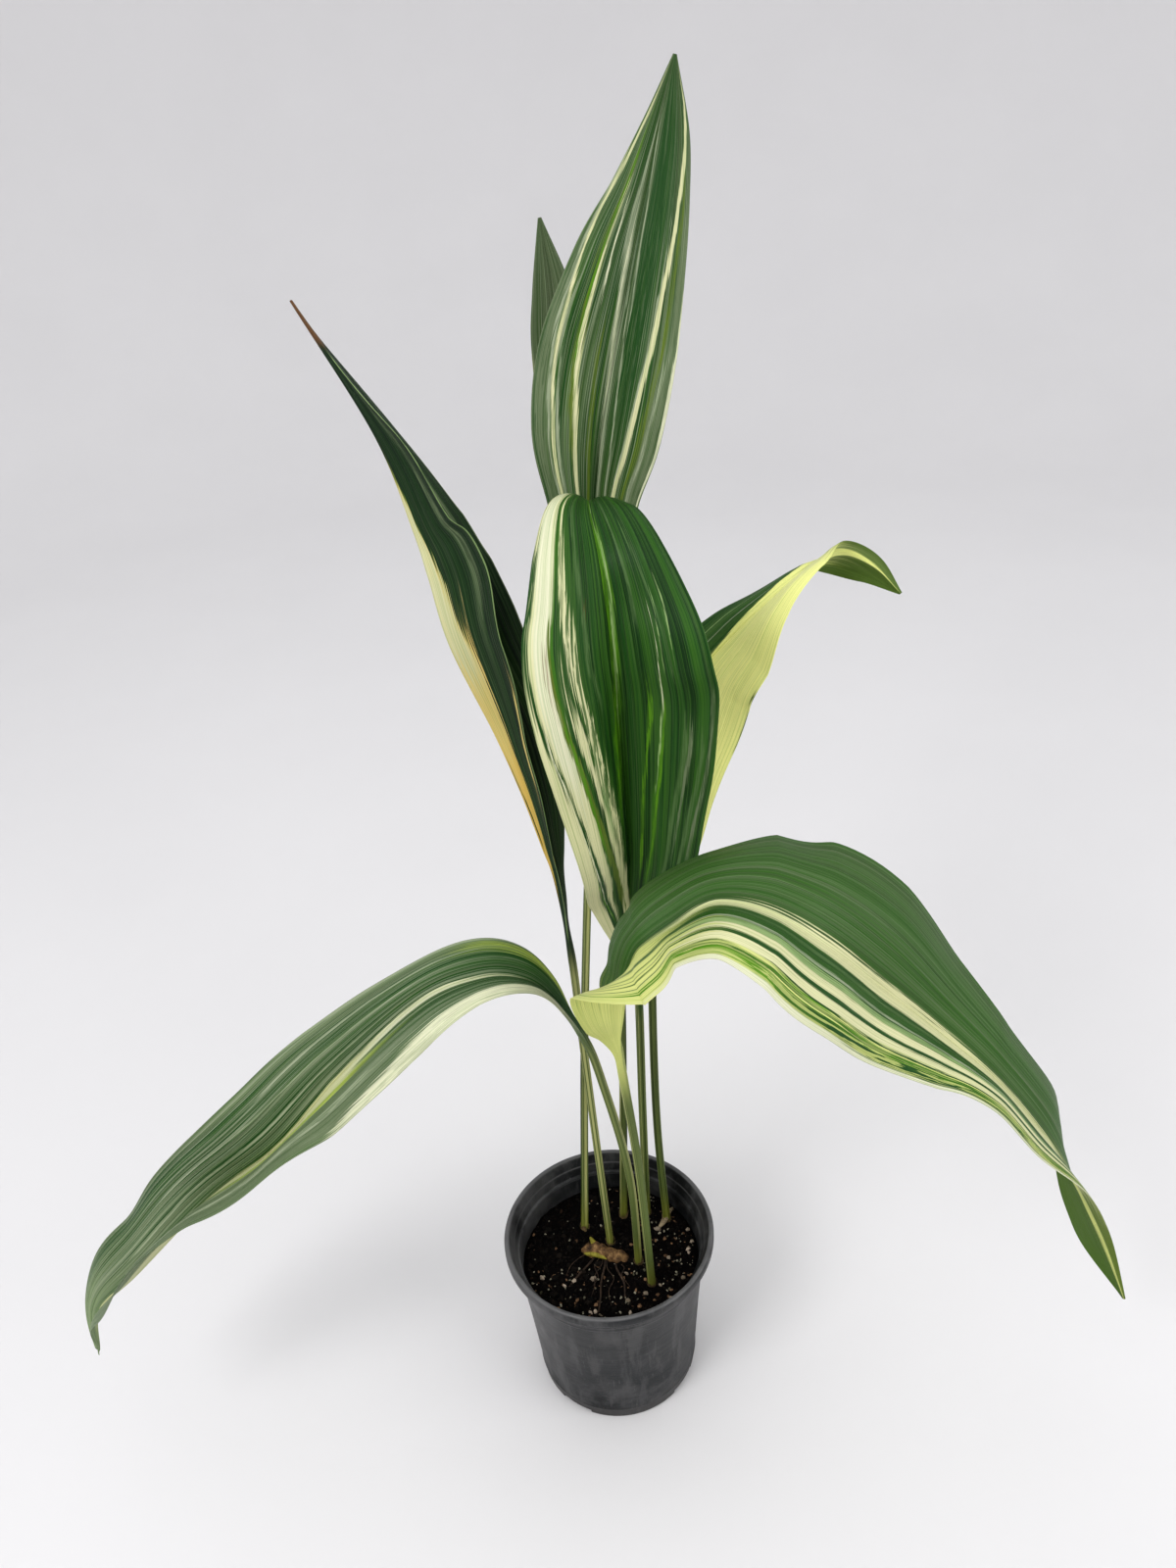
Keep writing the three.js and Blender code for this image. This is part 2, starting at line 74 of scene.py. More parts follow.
def wrappedGrid(columns, rows, pointAt, layers=(), closed=True):
    bm = bmesh.new()
    bmesh.ops.create_grid(bm, x_segments=columns, y_segments=rows, size=1)
    stores = [bm.verts.layers.float.new(name) for name in layers]
    bm.verts.ensure_lookup_table()
    for index, vert in enumerate(bm.verts):
        row, column = divmod(index, columns + 1)
        spot, *values = pointAt(row, column % columns)
        vert.co = spot
        for store, value in zip(stores, values):
            vert[store] = value
    bmesh.ops.remove_doubles(bm, verts=bm.verts, dist=2e-7)
    if closed:
        rims = [edge for edge in bm.edges if edge.is_boundary]
        bmesh.ops.holes_fill(bm, edges=rims, sides=0)
    bmesh.ops.recalc_face_normals(bm, faces=bm.faces)
    return bm


def spunProfile(profile, sides, closed=True):
    def pointAt(row, column):
        radius, height = profile[row]
        turn = 2 * math.pi * column / sides
        return Vector((radius * math.cos(turn), radius * math.sin(turn), height)),

    return wrappedGrid(sides, len(profile) - 1, pointAt, closed=closed)


def addNode(tree, kind, **settings):
    item = tree.nodes.new(kind)
    for name, value in settings.items():
        setattr(item, name, value)
    return item


def feed(tree, socket, value):
    if isinstance(value, bpy.types.NodeSocket):
        tree.links.new(value, socket)
    else:
        socket.default_value = value


def calc(tree, operation, first, second=0.0, clamp=False):
    item = addNode(tree, "ShaderNodeMath", operation=operation, use_clamp=clamp)
    feed(tree, item.inputs[0], first)
    feed(tree, item.inputs[1], second)
    return item.outputs[0]


def times(tree, first, second, clamp=False):
    return calc(tree, "MULTIPLY", first, second, clamp)


def plus(tree, first, second, clamp=False):
    return calc(tree, "ADD", first, second, clamp)


def minus(tree, first, second):
    return calc(tree, "SUBTRACT", first, second)


def ease(tree, value, low, high, toLow=0.0, toHigh=1.0):
    item = addNode(tree, "ShaderNodeMapRange", interpolation_type="SMOOTHSTEP")
    for socket, given in zip(item.inputs, (value, low, high, toLow, toHigh)):
        feed(tree, socket, given)
    return item.outputs[0]


def blendColour(tree, amount, first, second, mode="MIX"):
    item = addNode(tree, "ShaderNodeMix", data_type="RGBA", blend_type=mode)
    feed(tree, item.inputs[0], amount)
    for socket, value in ((item.inputs[6], first), (item.inputs[7], second)):
        if isinstance(value, bpy.types.NodeSocket):
            tree.links.new(value, socket)
        else:
            socket.default_value = (*value, 1.0)
    return item.outputs[2]


def ramp(tree, value, stops):
    item = addNode(tree, "ShaderNodeValToRGB")
    elements = item.color_ramp.elements
    while len(elements) > 1:
        elements.remove(elements[-1])
    elements[0].position, elements[0].color = stops[0][0], (*stops[0][1], 1.0)
    for place, colour in stops[1:]:
        elements.new(place).color = (*colour, 1.0)
    feed(tree, item.inputs[0], value)
    return item.outputs[0]


def noiseOf(tree, vector, scale, detail=2.0, rough=0.5):
    item = addNode(tree, "ShaderNodeTexNoise")
    tree.links.new(vector, item.inputs["Vector"])
    item.inputs["Scale"].default_value = scale
    item.inputs["Detail"].default_value = detail
    item.inputs["Roughness"].default_value = rough
    return item.outputs["Fac"]


def stretched(tree, vector, scale, offset=(0.0, 0.0, 0.0)):
    item = addNode(tree, "ShaderNodeMapping")
    tree.links.new(vector, item.inputs["Vector"])
    item.inputs["Scale"].default_value = scale
    item.inputs["Location"].default_value = offset
    return item.outputs[0]


def startMaterial(name, roughness, specular):
    material = bpy.data.materials.new(name)
    material.use_nodes = True
    tree = material.node_tree
    shader = tree.nodes["Principled BSDF"]
    shader.inputs["Roughness"].default_value = roughness
    shader.inputs["Specular IOR Level"].default_value = specular
    return material, tree, shader


def objectPoint(tree):
    return addNode(tree, "ShaderNodeTexCoord").outputs["Object"]


def partOf(tree, vector, axis):
    item = addNode(tree, "ShaderNodeSeparateXYZ")
    tree.links.new(vector, item.inputs[0])
    return item.outputs["XYZ".index(axis)]


def shaded(colour, factor):
    return tuple(c * factor for c in colour)


def bumpOf(tree, shader, height, distance, strength=1.0):
    item = addNode(tree, "ShaderNodeBump")
    item.inputs["Strength"].default_value = strength
    item.inputs["Distance"].default_value = distance
    tree.links.new(height, item.inputs["Height"])
    tree.links.new(item.outputs[0], shader.inputs["Normal"])


cameraSpot = {
    "place": (0.0113, -0.5781, 0.8209),
    "pitchDown": 29.3,
    "roll": -4.66,
    "lens": 27.0,
}
studio = {
    "floorColour": (0.750, 0.738, 0.743),
    "floorRadius": 2.4,
    "coveRadius": 1.6,
    "coveHeight": 3.2,
    "coveSteps": 16,
    "floorSides": 96,
    "worldColour": (0.97, 0.985, 1.0),
    "worldStrength": 0.90,
    "keyPlace": (-1.1, -1.1, 1.8),
    "keyPower": 16.0,
    "keySize": 0.8,
    "fillPlace": (1.6, -0.8, 1.1),
    "fillPower": 11.0,
    "fillSize": 1.5,
    "aimHeight": 0.4,
}


def addCamera():
    pitch = math.radians(cameraSpot["pitchDown"])
    roll = math.radians(cameraSpot["roll"])
    ahead = Vector((0, math.cos(pitch), -math.sin(pitch)))
    level = Vector((1, 0, 0))
    above = Vector((0, math.sin(pitch), math.cos(pitch)))
    right = level * math.cos(roll) + above * math.sin(roll)
    up = above * math.cos(roll) - level * math.sin(roll)
    turn = Matrix((right, up, -ahead)).transposed().to_4x4()
    data = bpy.data.cameras.new("photoCamera")
    data.sensor_fit = "AUTO"
    data.sensor_width = 36.0
    data.lens = cameraSpot["lens"]
    data.clip_start = 0.01
    camera = bpy.data.objects.new("photoCamera", data)
    camera.matrix_world = Matrix.Translation(cameraSpot["place"]) @ turn
    scene.collection.objects.link(camera)
    scene.camera = camera


def addLamp(name):
    data = bpy.data.lights.new(name + "Lamp", "AREA")
    data.energy = studio[name + "Power"]
    data.size = studio[name + "Size"]
    lamp = bpy.data.objects.new(name + "Lamp", data)
    place = Vector(studio[name + "Place"])
    aim = Vector((0, 0, studio["aimHeight"])) - place
    lamp.matrix_world = Matrix.Translation(place) @ aim.to_track_quat("-Z", "Y").to_matrix().to_4x4()
    scene.collection.objects.link(lamp)


def addFloor():
    material, tree, shader = startMaterial("paleFloor", 0.8, 0.2)
    grain = noiseOf(tree, objectPoint(tree), 3.0, 3.0)
    pale = studio["floorColour"]
    colour = ramp(tree, grain, [(0.35, shaded(pale, 0.985)), (0.65, pale)])
    tree.links.new(colour, shader.inputs["Base Color"])
    # a round floor that curves up into a wall on every side, so no horizon shows
    flat, cove = studio["floorRadius"], studio["coveRadius"]
    profile = [(0, 0), (flat, 0)]
    for k in range(1, studio["coveSteps"] + 1):
        turn = math.pi / 2 * k / studio["coveSteps"]
        profile.append((flat + cove * math.sin(turn), cove * (1 - math.cos(turn))))
    profile.append((flat + cove, studio["coveHeight"]))
    bm = spunProfile(profile, studio["floorSides"], closed=False)
    bmesh.ops.reverse_faces(bm, faces=bm.faces)
    meshObject("floor", bm, material)


def addWorld():
    world = bpy.data.worlds.new("softStudio")
    world.use_nodes = True
    background = world.node_tree.nodes["Background"]
    background.inputs["Color"].default_value = (*studio["worldColour"], 1.0)
    background.inputs["Strength"].default_value = studio["worldStrength"]
    scene.world = world


addCamera()
addFloor()
addWorld()
addLamp("key")
addLamp("fill")
scene.view_settings.view_transform = "Standard"
scene.view_settings.look = "Medium High Contrast"
print("camera, floor and light set")

pot = {
    "rimRadius": 0.075,
    "height": 0.132,
    "baseRadius": 0.0575,
    "wall": 0.002,
    "sides": 144,
    "notchCount": 4,
    "notchTurn": 54.0,
    "notchWidth": 0.024,
    "notchHeight": 0.004,
    "notchDepth": 0.014,
    "plastic": (0.010, 0.011, 0.012),
    "worn": (0.088, 0.087, 0.088),
    "footDirt": (0.060, 0.052, 0.044),
    "dust": (0.13, 0.12, 0.11),
    # bright lines on the rim top, lip edge, collar ridge and foot ridge: partly rubbed wear, partly painted
    # highlight where these edges catch the light
    "rubbedAndHighlightLines": [(0.1316, 0.0012, 1.0), (0.1243, 0.0010, 1.0),
                    (0.1160, 0.0008, 0.6), (0.0100, 0.0008, 0.4)],  # height, half width, amount
}


def potProfile():
    rim, top, base, wall = pot["rimRadius"], pot["height"], pot["baseRadius"], pot["wall"]
    wallTop = base + 0.0095
    collar = wallTop + 0.0016
    inner = collar - wall
    lip = top - 0.008
    return [
        (0, 0.0), (base - 0.004, 0.0), (base - 0.002, 0.0), (base - 0.0006, 0.0005), (base, 0.0016),
        (base + 0.0006, 0.0094), (base + 0.0012, 0.0100), (base + 0.0013, 0.0106),
        (base + 0.0009, 0.0113), (base + 0.0052, 0.065), (wallTop - 0.0002, 0.1085),
        (wallTop + 0.0004, 0.1105), (collar, 0.1120), (collar + 0.0002, 0.1130),
        (collar + 0.0002, 0.1152), (collar + 0.0006, 0.1158), (collar + 0.0006, 0.1166),
        (collar + 0.0002, 0.1172), (collar + 0.0009, lip - 0.0004), (collar + 0.0014, lip),
        (rim - 0.0016, lip - 0.0002), (rim - 0.0006, lip + 0.0003), (rim - 0.0001, lip + 0.0012),
        (rim, lip + 0.003), (rim, top - 0.0024), (rim - 0.0004, top - 0.0010),
        (rim - 0.0014, top - 0.0001), (rim - 0.0024, top), (rim - 0.0033, top - 0.0004),
        (rim - 0.0041, top - 0.0020), (inner + 0.0012, lip - 0.001), (inner, 0.1187),
        (inner - 0.0002, 0.1178), (wallTop - wall, 0.1174), (wallTop - wall - 0.0002, 0.1166),
        (base - wall, 0.0035), (base - wall - 0.001, 0.0025), (0, 0.0025),
    ]


def potPlastic():
    material, tree, shader = startMaterial("wornBlackPlastic", 0.45, 0.40)
    point = objectPoint(tree)
    height = partOf(tree, point, "Z")
    cloud = noiseOf(tree, point, 26.0, 5.0, 0.62)
    smear = noiseOf(tree, stretched(tree, point, (34, 34, 42), (0.2, 0.4, 0.1)), 1.0, 7.0, 0.68)
    streaky = noiseOf(tree, stretched(tree, point, (90, 90, 14), (0.5, 0.2, 0.3)), 1.0, 5.0, 0.65)
    rings = noiseOf(tree, stretched(tree, point, (6, 6, 420)), 1.0, 2.0)
    scratches = noiseOf(tree, stretched(tree, point, (420, 420, 26), (0.3, 0.1, 0.7)), 1.0, 4.0, 0.7)
    dust = noiseOf(tree, point, 800.0, 3.0, 0.6)
    smeared = ease(tree, smear, 0.42, 0.66)
    scratched = times(tree, ease(tree, scratches, 0.63, 0.70), ease(tree, cloud, 0.45, 0.6))
    # lighter lines on the rim, lip, collar and foot edges: partly rubbed wear, partly painted highlight
    rubbedAndHighlight = 0.0
    for level, width, amount in pot["rubbedAndHighlightLines"]:
        far = calc(tree, "ABSOLUTE", minus(tree, height, level))
        rubbedAndHighlight = plus(tree, rubbedAndHighlight, times(tree, ease(tree, far, width, 0.0), amount), clamp=True)
    rubbedAndHighlight = times(tree, rubbedAndHighlight, ease(tree, cloud, 0.25, 0.60, 0.35, 1.0))
    # paler wash on the left (-x) side of the pot: partly chalky deposit, partly painted sheen on the side
    # the key light falls on
    chalkAndSheen = times(tree, ease(tree, partOf(tree, point, "X"), -0.020, -0.066), ease(tree, cloud, 0.30, 0.62))
    plastic, worn = pot["plastic"], pot["worn"]
    colour = blendColour(tree, ease(tree, cloud, 0.35, 0.65), plastic, shaded(plastic, 1.9))
    for mask, amount, tint in ((ease(tree, streaky, 0.50, 0.62), 0.45, worn),
                               (smeared, 0.72, worn),
                               (scratched, 0.60, shaded(worn, 1.8)),
                               (rubbedAndHighlight, 1.00, shaded(worn, 1.6)),
                               (chalkAndSheen, 0.80, shaded(worn, 1.3)),
                               (ease(tree, height, 0.002, 0.016, 1.0, 0.0), 0.30, pot["footDirt"]),
                               (ease(tree, dust, 0.64, 0.72), 0.45, pot["dust"])):
        colour = blendColour(tree, times(tree, mask, amount), colour, tint)
    tree.links.new(colour, shader.inputs["Base Color"])
    rough = plus(tree, times(tree, cloud, 0.16), 0.32)
    rough = plus(tree, rough, times(tree, smeared, 0.16))
    tree.links.new(rough, shader.inputs["Roughness"])
    bumpOf(tree, shader, plus(tree, times(tree, rings, 0.6), times(tree, dust, 0.4)), 0.0003, 0.7)
    return material


def addPot():
    piece = meshPiece("potShell", spunProfile(potProfile(), pot["sides"]), potPlastic(), "pot")
    cutters = bmesh.new()
    for i in range(pot["notchCount"]):
        turn = math.radians(pot["notchTurn"] + 360 / pot["notchCount"] * i)
        place = Matrix.Rotation(turn, 4, "Z") @ Matrix.Translation((0, -pot["baseRadius"], 0))
        size = Matrix.Diagonal((pot["notchWidth"], pot["notchDepth"], pot["notchHeight"] * 2, 1))
        bmesh.ops.create_cube(cutters, size=1, matrix=place @ size)
    cutter = meshObject("notchCutters", cutters, smoothFaces=False)
    cut = piece.modifiers.new("footNotches", "BOOLEAN")
    cut.operation = "DIFFERENCE"
    cut.solver = "EXACT"
    cut.object = cutter
    baked = bpy.data.meshes.new_from_object(piece.evaluated_get(bpy.context.evaluated_depsgraph_get()))
    piece.modifiers.clear()
    piece.data = baked
    bpy.data.objects.remove(cutter)


addPot()
print("pot made")

soil = {
    "level": 0.104,
    "relief": 0.0011,
    "edgeRadius": 0.0634,
    "bottomRadius": 0.0550,
    "bottom": 0.0029,
    "grainReach": 0.061,
    "rings": 64,
    "sides": 180,
    "wet": (0.002, 0.002, 0.002),
    "damp": (0.004, 0.003, 0.003),
    "dry": (0.018, 0.012, 0.008),
    "dust": (0.050, 0.034, 0.022),
    "stain": (0.005, 0.004, 0.004),
}


def soilHeight(x, y):
    slow = math.sin(110 * x + 1.3) * math.cos(130 * y - 0.4)
    fine = math.sin(370 * x + 210 * y) * math.cos(330 * y - 90 * x + 2)
    return soil["level"] + soil["relief"] * (0.6 * slow + 0.4 * fine)


def soilMaterial():
    material, tree, shader = startMaterial("dampPottingMix", 0.9, 0.04)
    point = objectPoint(tree)
    clods = noiseOf(tree, point, 260.0, 5.0, 0.65)
    dust = noiseOf(tree, point, 1100.0, 3.0)
    wet = noiseOf(tree, point, 35.0, 2.0)
    colour = ramp(tree, clods, [(0.30, soil["wet"]), (0.54, soil["damp"]), (0.72, soil["dry"])])
    colour = blendColour(tree, ease(tree, dust, 0.66, 0.76), colour, soil["dust"])
    colour = blendColour(tree, ease(tree, wet, 0.35, 0.65, 0.0, 0.5), colour, soil["stain"])
    tree.links.new(colour, shader.inputs["Base Color"])
    bumpOf(tree, shader, plus(tree, times(tree, clods, 0.7), times(tree, dust, 0.3)), 0.0016, 0.9)
    return material


def grainMaterial(name, low, high, roughness):
    material, tree, shader = startMaterial(name, roughness, 0.15)
    tone = addNode(tree, "ShaderNodeAttribute", attribute_name="tone").outputs["Fac"]
    rub = noiseOf(tree, objectPoint(tree), 1400.0, 4.0, 0.6)
    colour = ramp(tree, tone, [(0.0, low), (1.0, high)])
    shade = ramp(tree, rub, [(0.3, (0.55, 0.52, 0.50)), (0.7, (1.0, 1.0, 1.0))])
    tree.links.new(blendColour(tree, 1.0, colour, shade, "MULTIPLY"), shader.inputs["Base Color"])
    bumpOf(tree, shader, rub, 0.0005, 0.7)
    return material


def addSoil():
    edge, bottom = soil["edgeRadius"], soil["bottom"]
    top = soil["level"] - 0.0008
    wallSide = [(soil["bottomRadius"] + (edge - soil["bottomRadius"]) * t, bottom + (top - bottom) * t)
                for t in (0, 0.25, 0.5, 0.75, 0.94)]
    rings = [(edge * (1 - k / soil["rings"]), soil["level"]) for k in range(soil["rings"] + 1)]
    bm = spunProfile([(0, bottom)] + wallSide + rings, soil["sides"])
    for vert in bm.verts:
        if vert.co.z < soil["level"] - 1e-4:
            continue
        x, y = vert.co.x, vert.co.y
        spot = Vector((x, y, 0.0))
        lumps = 0.0016 * noise.noise(spot * 150) + 0.0010 * noise.noise(spot * 420 + Vector((3, 1, 7)))
        inside = 1 - smooth(math.hypot(x, y), edge - 0.004, edge)
        vert.co.z = soilHeight(x, y) + (lumps + 0.0003) * (0.3 + 0.7 * inside) - 0.0012 * (1 - inside)
    meshPiece("soilPlug", bm, soilMaterial(), "soil")


def allOver(x, y):
    return True


def mostlyFront(x, y):
    return y < -0.008 or x > 0.022 or noise.noise(Vector((x * 300, y * 300, 5))) > 0.22


grains = [
    {"name": "soilCrumbs", "skin": "darkCrumb", "count": 1500, "sizes": (0.0012, 0.0036), "flatness": 0.75,
     "dark": (0.001, 0.001, 0.001), "pale": (0.013, 0.009, 0.007), "roughness": 0.85,
     "seed": 11, "where": allOver, "divisions": 1},
    {"name": "soilClods", "skin": "darkClod", "count": 130, "sizes": (0.0036, 0.0064), "flatness": 0.6,
     "dark": (0.002, 0.002, 0.002), "pale": (0.015, 0.011, 0.008), "roughness": 0.9,
     "seed": 12, "where": allOver, "divisions": 2},
    {"name": "perliteGrains", "skin": "perlite", "count": 230, "sizes": (0.0010, 0.0032), "flatness": 0.85,
     "dark": (0.09, 0.085, 0.055), "pale": (0.52, 0.49, 0.38), "roughness": 0.8,
     "seed": 13, "where": mostlyFront, "divisions": 1},
    {"name": "paleStones", "skin": "paleStone", "count": 26, "sizes": (0.0036, 0.0056), "flatness": 0.7,
     "dark": (0.16, 0.13, 0.09), "pale": (0.62, 0.52, 0.42), "roughness": 0.75,
     "seed": 15, "where": mostlyFront, "divisions": 2},
    {"name": "barkChips", "skin": "barkChip", "count": 210, "sizes": (0.0012, 0.0046), "flatness": 0.5,
     "dark": (0.045, 0.026, 0.016), "pale": (0.31, 0.19, 0.11), "roughness": 0.8,
     "seed": 14, "where": mostlyFront, "divisions": 1},
]


def scatterGrains(kind):
    chance = random.Random(kind["seed"])
    bm = bmesh.new()
    tone = bm.verts.layers.float.new("tone")
    placed = 0
    while placed < kind["count"]:
        reach = soil["grainReach"] * math.sqrt(chance.random())
        around = chance.uniform(0, 2 * math.pi)
        x, y = reach * math.cos(around), reach * math.sin(around)
        if not kind["where"](x, y):
            continue
        size = chance.uniform(*kind["sizes"]) * (0.6 + 0.4 * chance.random())
        thick = size * kind["flatness"]
        turn = Matrix.Rotation(chance.uniform(0, 6.28), 4, "Z")
        turn = turn @ Matrix.Rotation(chance.uniform(-0.5, 0.5), 4, "X")
        stretch = Matrix.Diagonal((size, size * chance.uniform(0.5, 0.9), thick, 1))
        place = Matrix.Translation((x, y, soilHeight(x, y) + thick * 0.25))
        made = bmesh.ops.create_icosphere(bm, subdivisions=kind["divisions"], radius=0.5,
                                          matrix=place @ turn @ stretch)
        shade = chance.random()
        for vert in made["verts"]:
            vert.co += noise.noise_vector(vert.co * 900 + Vector((kind["seed"], 0, 0))) * size * 0.16
            vert[tone] = shade
        placed += 1
    bmesh.ops.recalc_face_normals(bm, faces=bm.faces)
    skin = grainMaterial(kind["skin"], kind["dark"], kind["pale"], kind["roughness"])
    meshPiece(kind["name"], bm, skin, smoothFaces=False)


addSoil()
for kind in grains:
    scatterGrains(kind)
print("soil, crumbs, perlite and bark made")

rootstock = {
    "route": [(-21, 8, 101), (-14, 5.5, 103.4), (-6, 2, 104), (3, -1.5, 103.8), (13, -5.5, 102.2)],
    "radius": 5.6,
    "shoot": [(-11, 6, 104), (-12, 8, 108), (-14, 10, 112)],
    "shootRadius": 2.6,
    "bud": [(-19, 2, 104.6), (-13, -0.6, 106.4), (-8, -2.2, 106.3), (-3, -4, 105)],
    "budRadius": 1.7,
    "roots": [
        [(-4, -3, 104), (-5, -12, 106), (-8, -24, 106.2), (-9, -36, 105.9), (-11, -47, 104.5)],
        [(-10, 1, 104), (-15, -7, 106), (-24, -17, 106), (-31, -25, 104.4)],
        [(3, -7, 103.5), (4, -15, 105.8), (8, -26, 106), (8, -37, 104.4)],
    ],
    "rootRadius": 0.9,
    "hairs": [
        [(-6, -4, 104.5), (-7, -10, 106.4), (-12, -18, 106.0), (-13, -28, 106.3), (-17, -38, 104.6)],
        [(-3, -5, 104.5), (-3, -14, 106.6), (1, -22, 106.0), (-3, -32, 106.2), (-2, -43, 104.8)],
        [(-8, -2, 104.6), (-12, -11, 106.4), (-10, -20, 106.4), (-14, -26, 104.9)],
        [(6, -8, 104.0), (9, -14, 106.2), (7, -20, 106.3), (12, -29, 104.8)],
        [(-15, 3, 103.8), (-22, -2, 106.2), (-29, -8, 105.9), (-33, -16, 104.6)],
    ],
    "hairRadius": 0.42,
    "dirt": (0.045, 0.028, 0.016),
    "scales": [(0.32, (0.034, 0.019, 0.010)), (0.5, (0.16, 0.088, 0.036)), (0.68, (0.37, 0.23, 0.10))],
    "shootTones": [(0.3, (0.20, 0.17, 0.02)), (0.7, (0.42, 0.38, 0.06))],
    "rootTones": [(0.3, (0.014, 0.010, 0.008)), (0.55, (0.048, 0.030, 0.020)), (0.75, (0.15, 0.10, 0.06))],
}


def curveAt(points, t):
    span = t * (len(points) - 1)
    i = min(int(span), len(points) - 2)
    f = span - i

    def at(k):
        if k < 0:
            return tuple(2 * a - b for a, b in zip(points[0], points[1]))
        if k >= len(points):
            return tuple(2 * a - b for a, b in zip(points[-1], points[-2]))
        return points[k]

    quads = zip(at(i - 1), at(i), at(i + 1), at(i + 2))
    return [0.5 * (2 * b + f * (c - a) + f * f * (2 * a - 5 * b + 4 * c - d)
                   + f * f * f * (3 * b - a - 3 * c + d)) for a, b, c, d in quads]


def wrappedTube(route, radiusAt, sides, rows):
    def pointAt(row, column):
        t = row / rows
        low, high = max(t - 0.01, 0), min(t + 0.01, 1)
        ahead = (Vector(curveAt(route, high)) - Vector(curveAt(route, low))).normalized()
        side = ahead.cross(Vector((0, 0, 1)))
        side = side.normalized() if side.length > 0.2 else Vector((1, 0, 0))
        up = side.cross(ahead)
        turn = 2 * math.pi * column / sides
        out = side * math.cos(turn) + up * math.sin(turn)
        return (Vector(curveAt(route, t)) + out * radiusAt(t, turn)) * mm,

    return wrappedGrid(sides, rows, pointAt)


def rhizomeRadius(t, a):
    ends = math.sqrt(max(0.05, 1 - (2 * t - 1) ** 4))
    scars = 1 + 0.06 * math.cos(12 * math.pi * t) + 0.03 * smooth(math.cos(36 * math.pi * t), 0.5, 1)
    lumps = 1 + 0.10 * math.sin(2 * a + 9 * t) + 0.05 * math.sin(3 * a - 14 * t)
    grain = 1 + 0.035 * noise.noise(Vector((9 * t, 1.5 * math.cos(a), 1.5 * math.sin(a))) * 2)
    return rootstock["radius"] * ends * scars * lumps * grain


def rootMaterial(name, stops, scale, roughness):
    material, tree, shader = startMaterial(name, roughness, 0.3)
    point = objectPoint(tree)
    blotch = noiseOf(tree, point, scale, 4.0, 0.65)
    fibre = noiseOf(tree, stretched(tree, point, (1600, 420, 1600)), 1.0, 3.0)
    colour = ramp(tree, blotch, stops)
    colour = blendColour(tree, ease(tree, fibre, 0.52, 0.68, 0.0, 0.55), colour, rootstock["dirt"])
    tree.links.new(colour, shader.inputs["Base Color"])
    bumpOf(tree, shader, fibre, 0.0006, 0.8)
    return material


def addRootstock():
    scaly = rootMaterial("scalyRootstock", rootstock["scales"], 190.0, 0.7)
    shootSkin = rootMaterial("shootSkin", rootstock["shootTones"], 300.0, 0.5)
    rootSkin = rootMaterial("rootSkin", rootstock["rootTones"], 160.0, 0.8)

    def shootRadius(t, a):
        return rootstock["shootRadius"] * (1 - 0.72 * t * t)

    def budRadius(t, a):
        return rootstock["budRadius"] * math.sin(math.pi * (0.1 + 0.8 * t)) ** 0.5

    body = wrappedTube(rootstock["route"], rhizomeRadius, 48, 120)
    meshPiece("rootstockBody", body, scaly, "rhizome")
    meshPiece("rootstockShoot", wrappedTube(rootstock["shoot"], shootRadius, 28, 24), shootSkin)
    meshPiece("rootstockBud", wrappedTube(rootstock["bud"], budRadius, 24, 32), shootSkin)
    for i, route in enumerate(rootstock["roots"]):
        def rootRadius(t, a, i=i):
            knots = 1 + 0.22 * noise.noise(Vector((t * 14, i * 5.0, 0.4)))
            return rootstock["rootRadius"] * (1 - 0.35 * t) * knots
        meshPiece(f"surfaceRoot{i + 1}", wrappedTube(route, rootRadius, 14, 90), rootSkin)
    for i, route in enumerate(rootstock["hairs"]):
        hair = wrappedTube(route, lambda t, a: rootstock["hairRadius"] * (1 - 0.4 * t), 8, 60)
        meshPiece(f"rootHair{i + 1}", hair, rootSkin)


drySheath = {
    "route": [(37, 20, 105.5), (42, 25, 108.5), (45, 31, 109), (49, 37, 106)],
    "halfWidth": 2.6,
    "curl": 1.8,
    "halfThickness": 0.16,
    "sink": 2.0,
    "acrossWay": (0.75, -0.62, 0.2),
    "samples": 14,
    "rows": 40,
    "tones": [(0.3, (0.16, 0.12, 0.07)), (0.7, (0.46, 0.37, 0.24))],
}


def addSheath():
    samples, rows = drySheath["samples"], drySheath["rows"]

    def pointAt(row, column):
        t = row / rows
        over = column <= samples
        u = (column if over else 2 * samples - column) / (samples / 2) - 1
        half = drySheath["halfWidth"] * math.sin(math.pi * (0.12 + 0.80 * t)) + 0.3
        curl = drySheath["curl"] * (1 - u * u) * (1 - 0.4 * t) + 0.5 * noise.noise(Vector((t * 7, u * 2, 3)))
        lift = drySheath["halfThickness"] * (1 if over else -1)
        centre = Vector(curveAt(drySheath["route"], t))
        raised = Vector((0, 0, curl + lift - drySheath["sink"]))
        return (centre + Vector(drySheath["acrossWay"]) * u * half + raised) * mm,

    skin = rootMaterial("drySheath", drySheath["tones"], 240.0, 0.75)
    meshPiece("drySheath", wrappedGrid(2 * samples, rows, pointAt), skin)


addRootstock()
addSheath()
print("rootstock, roots and sheath made")

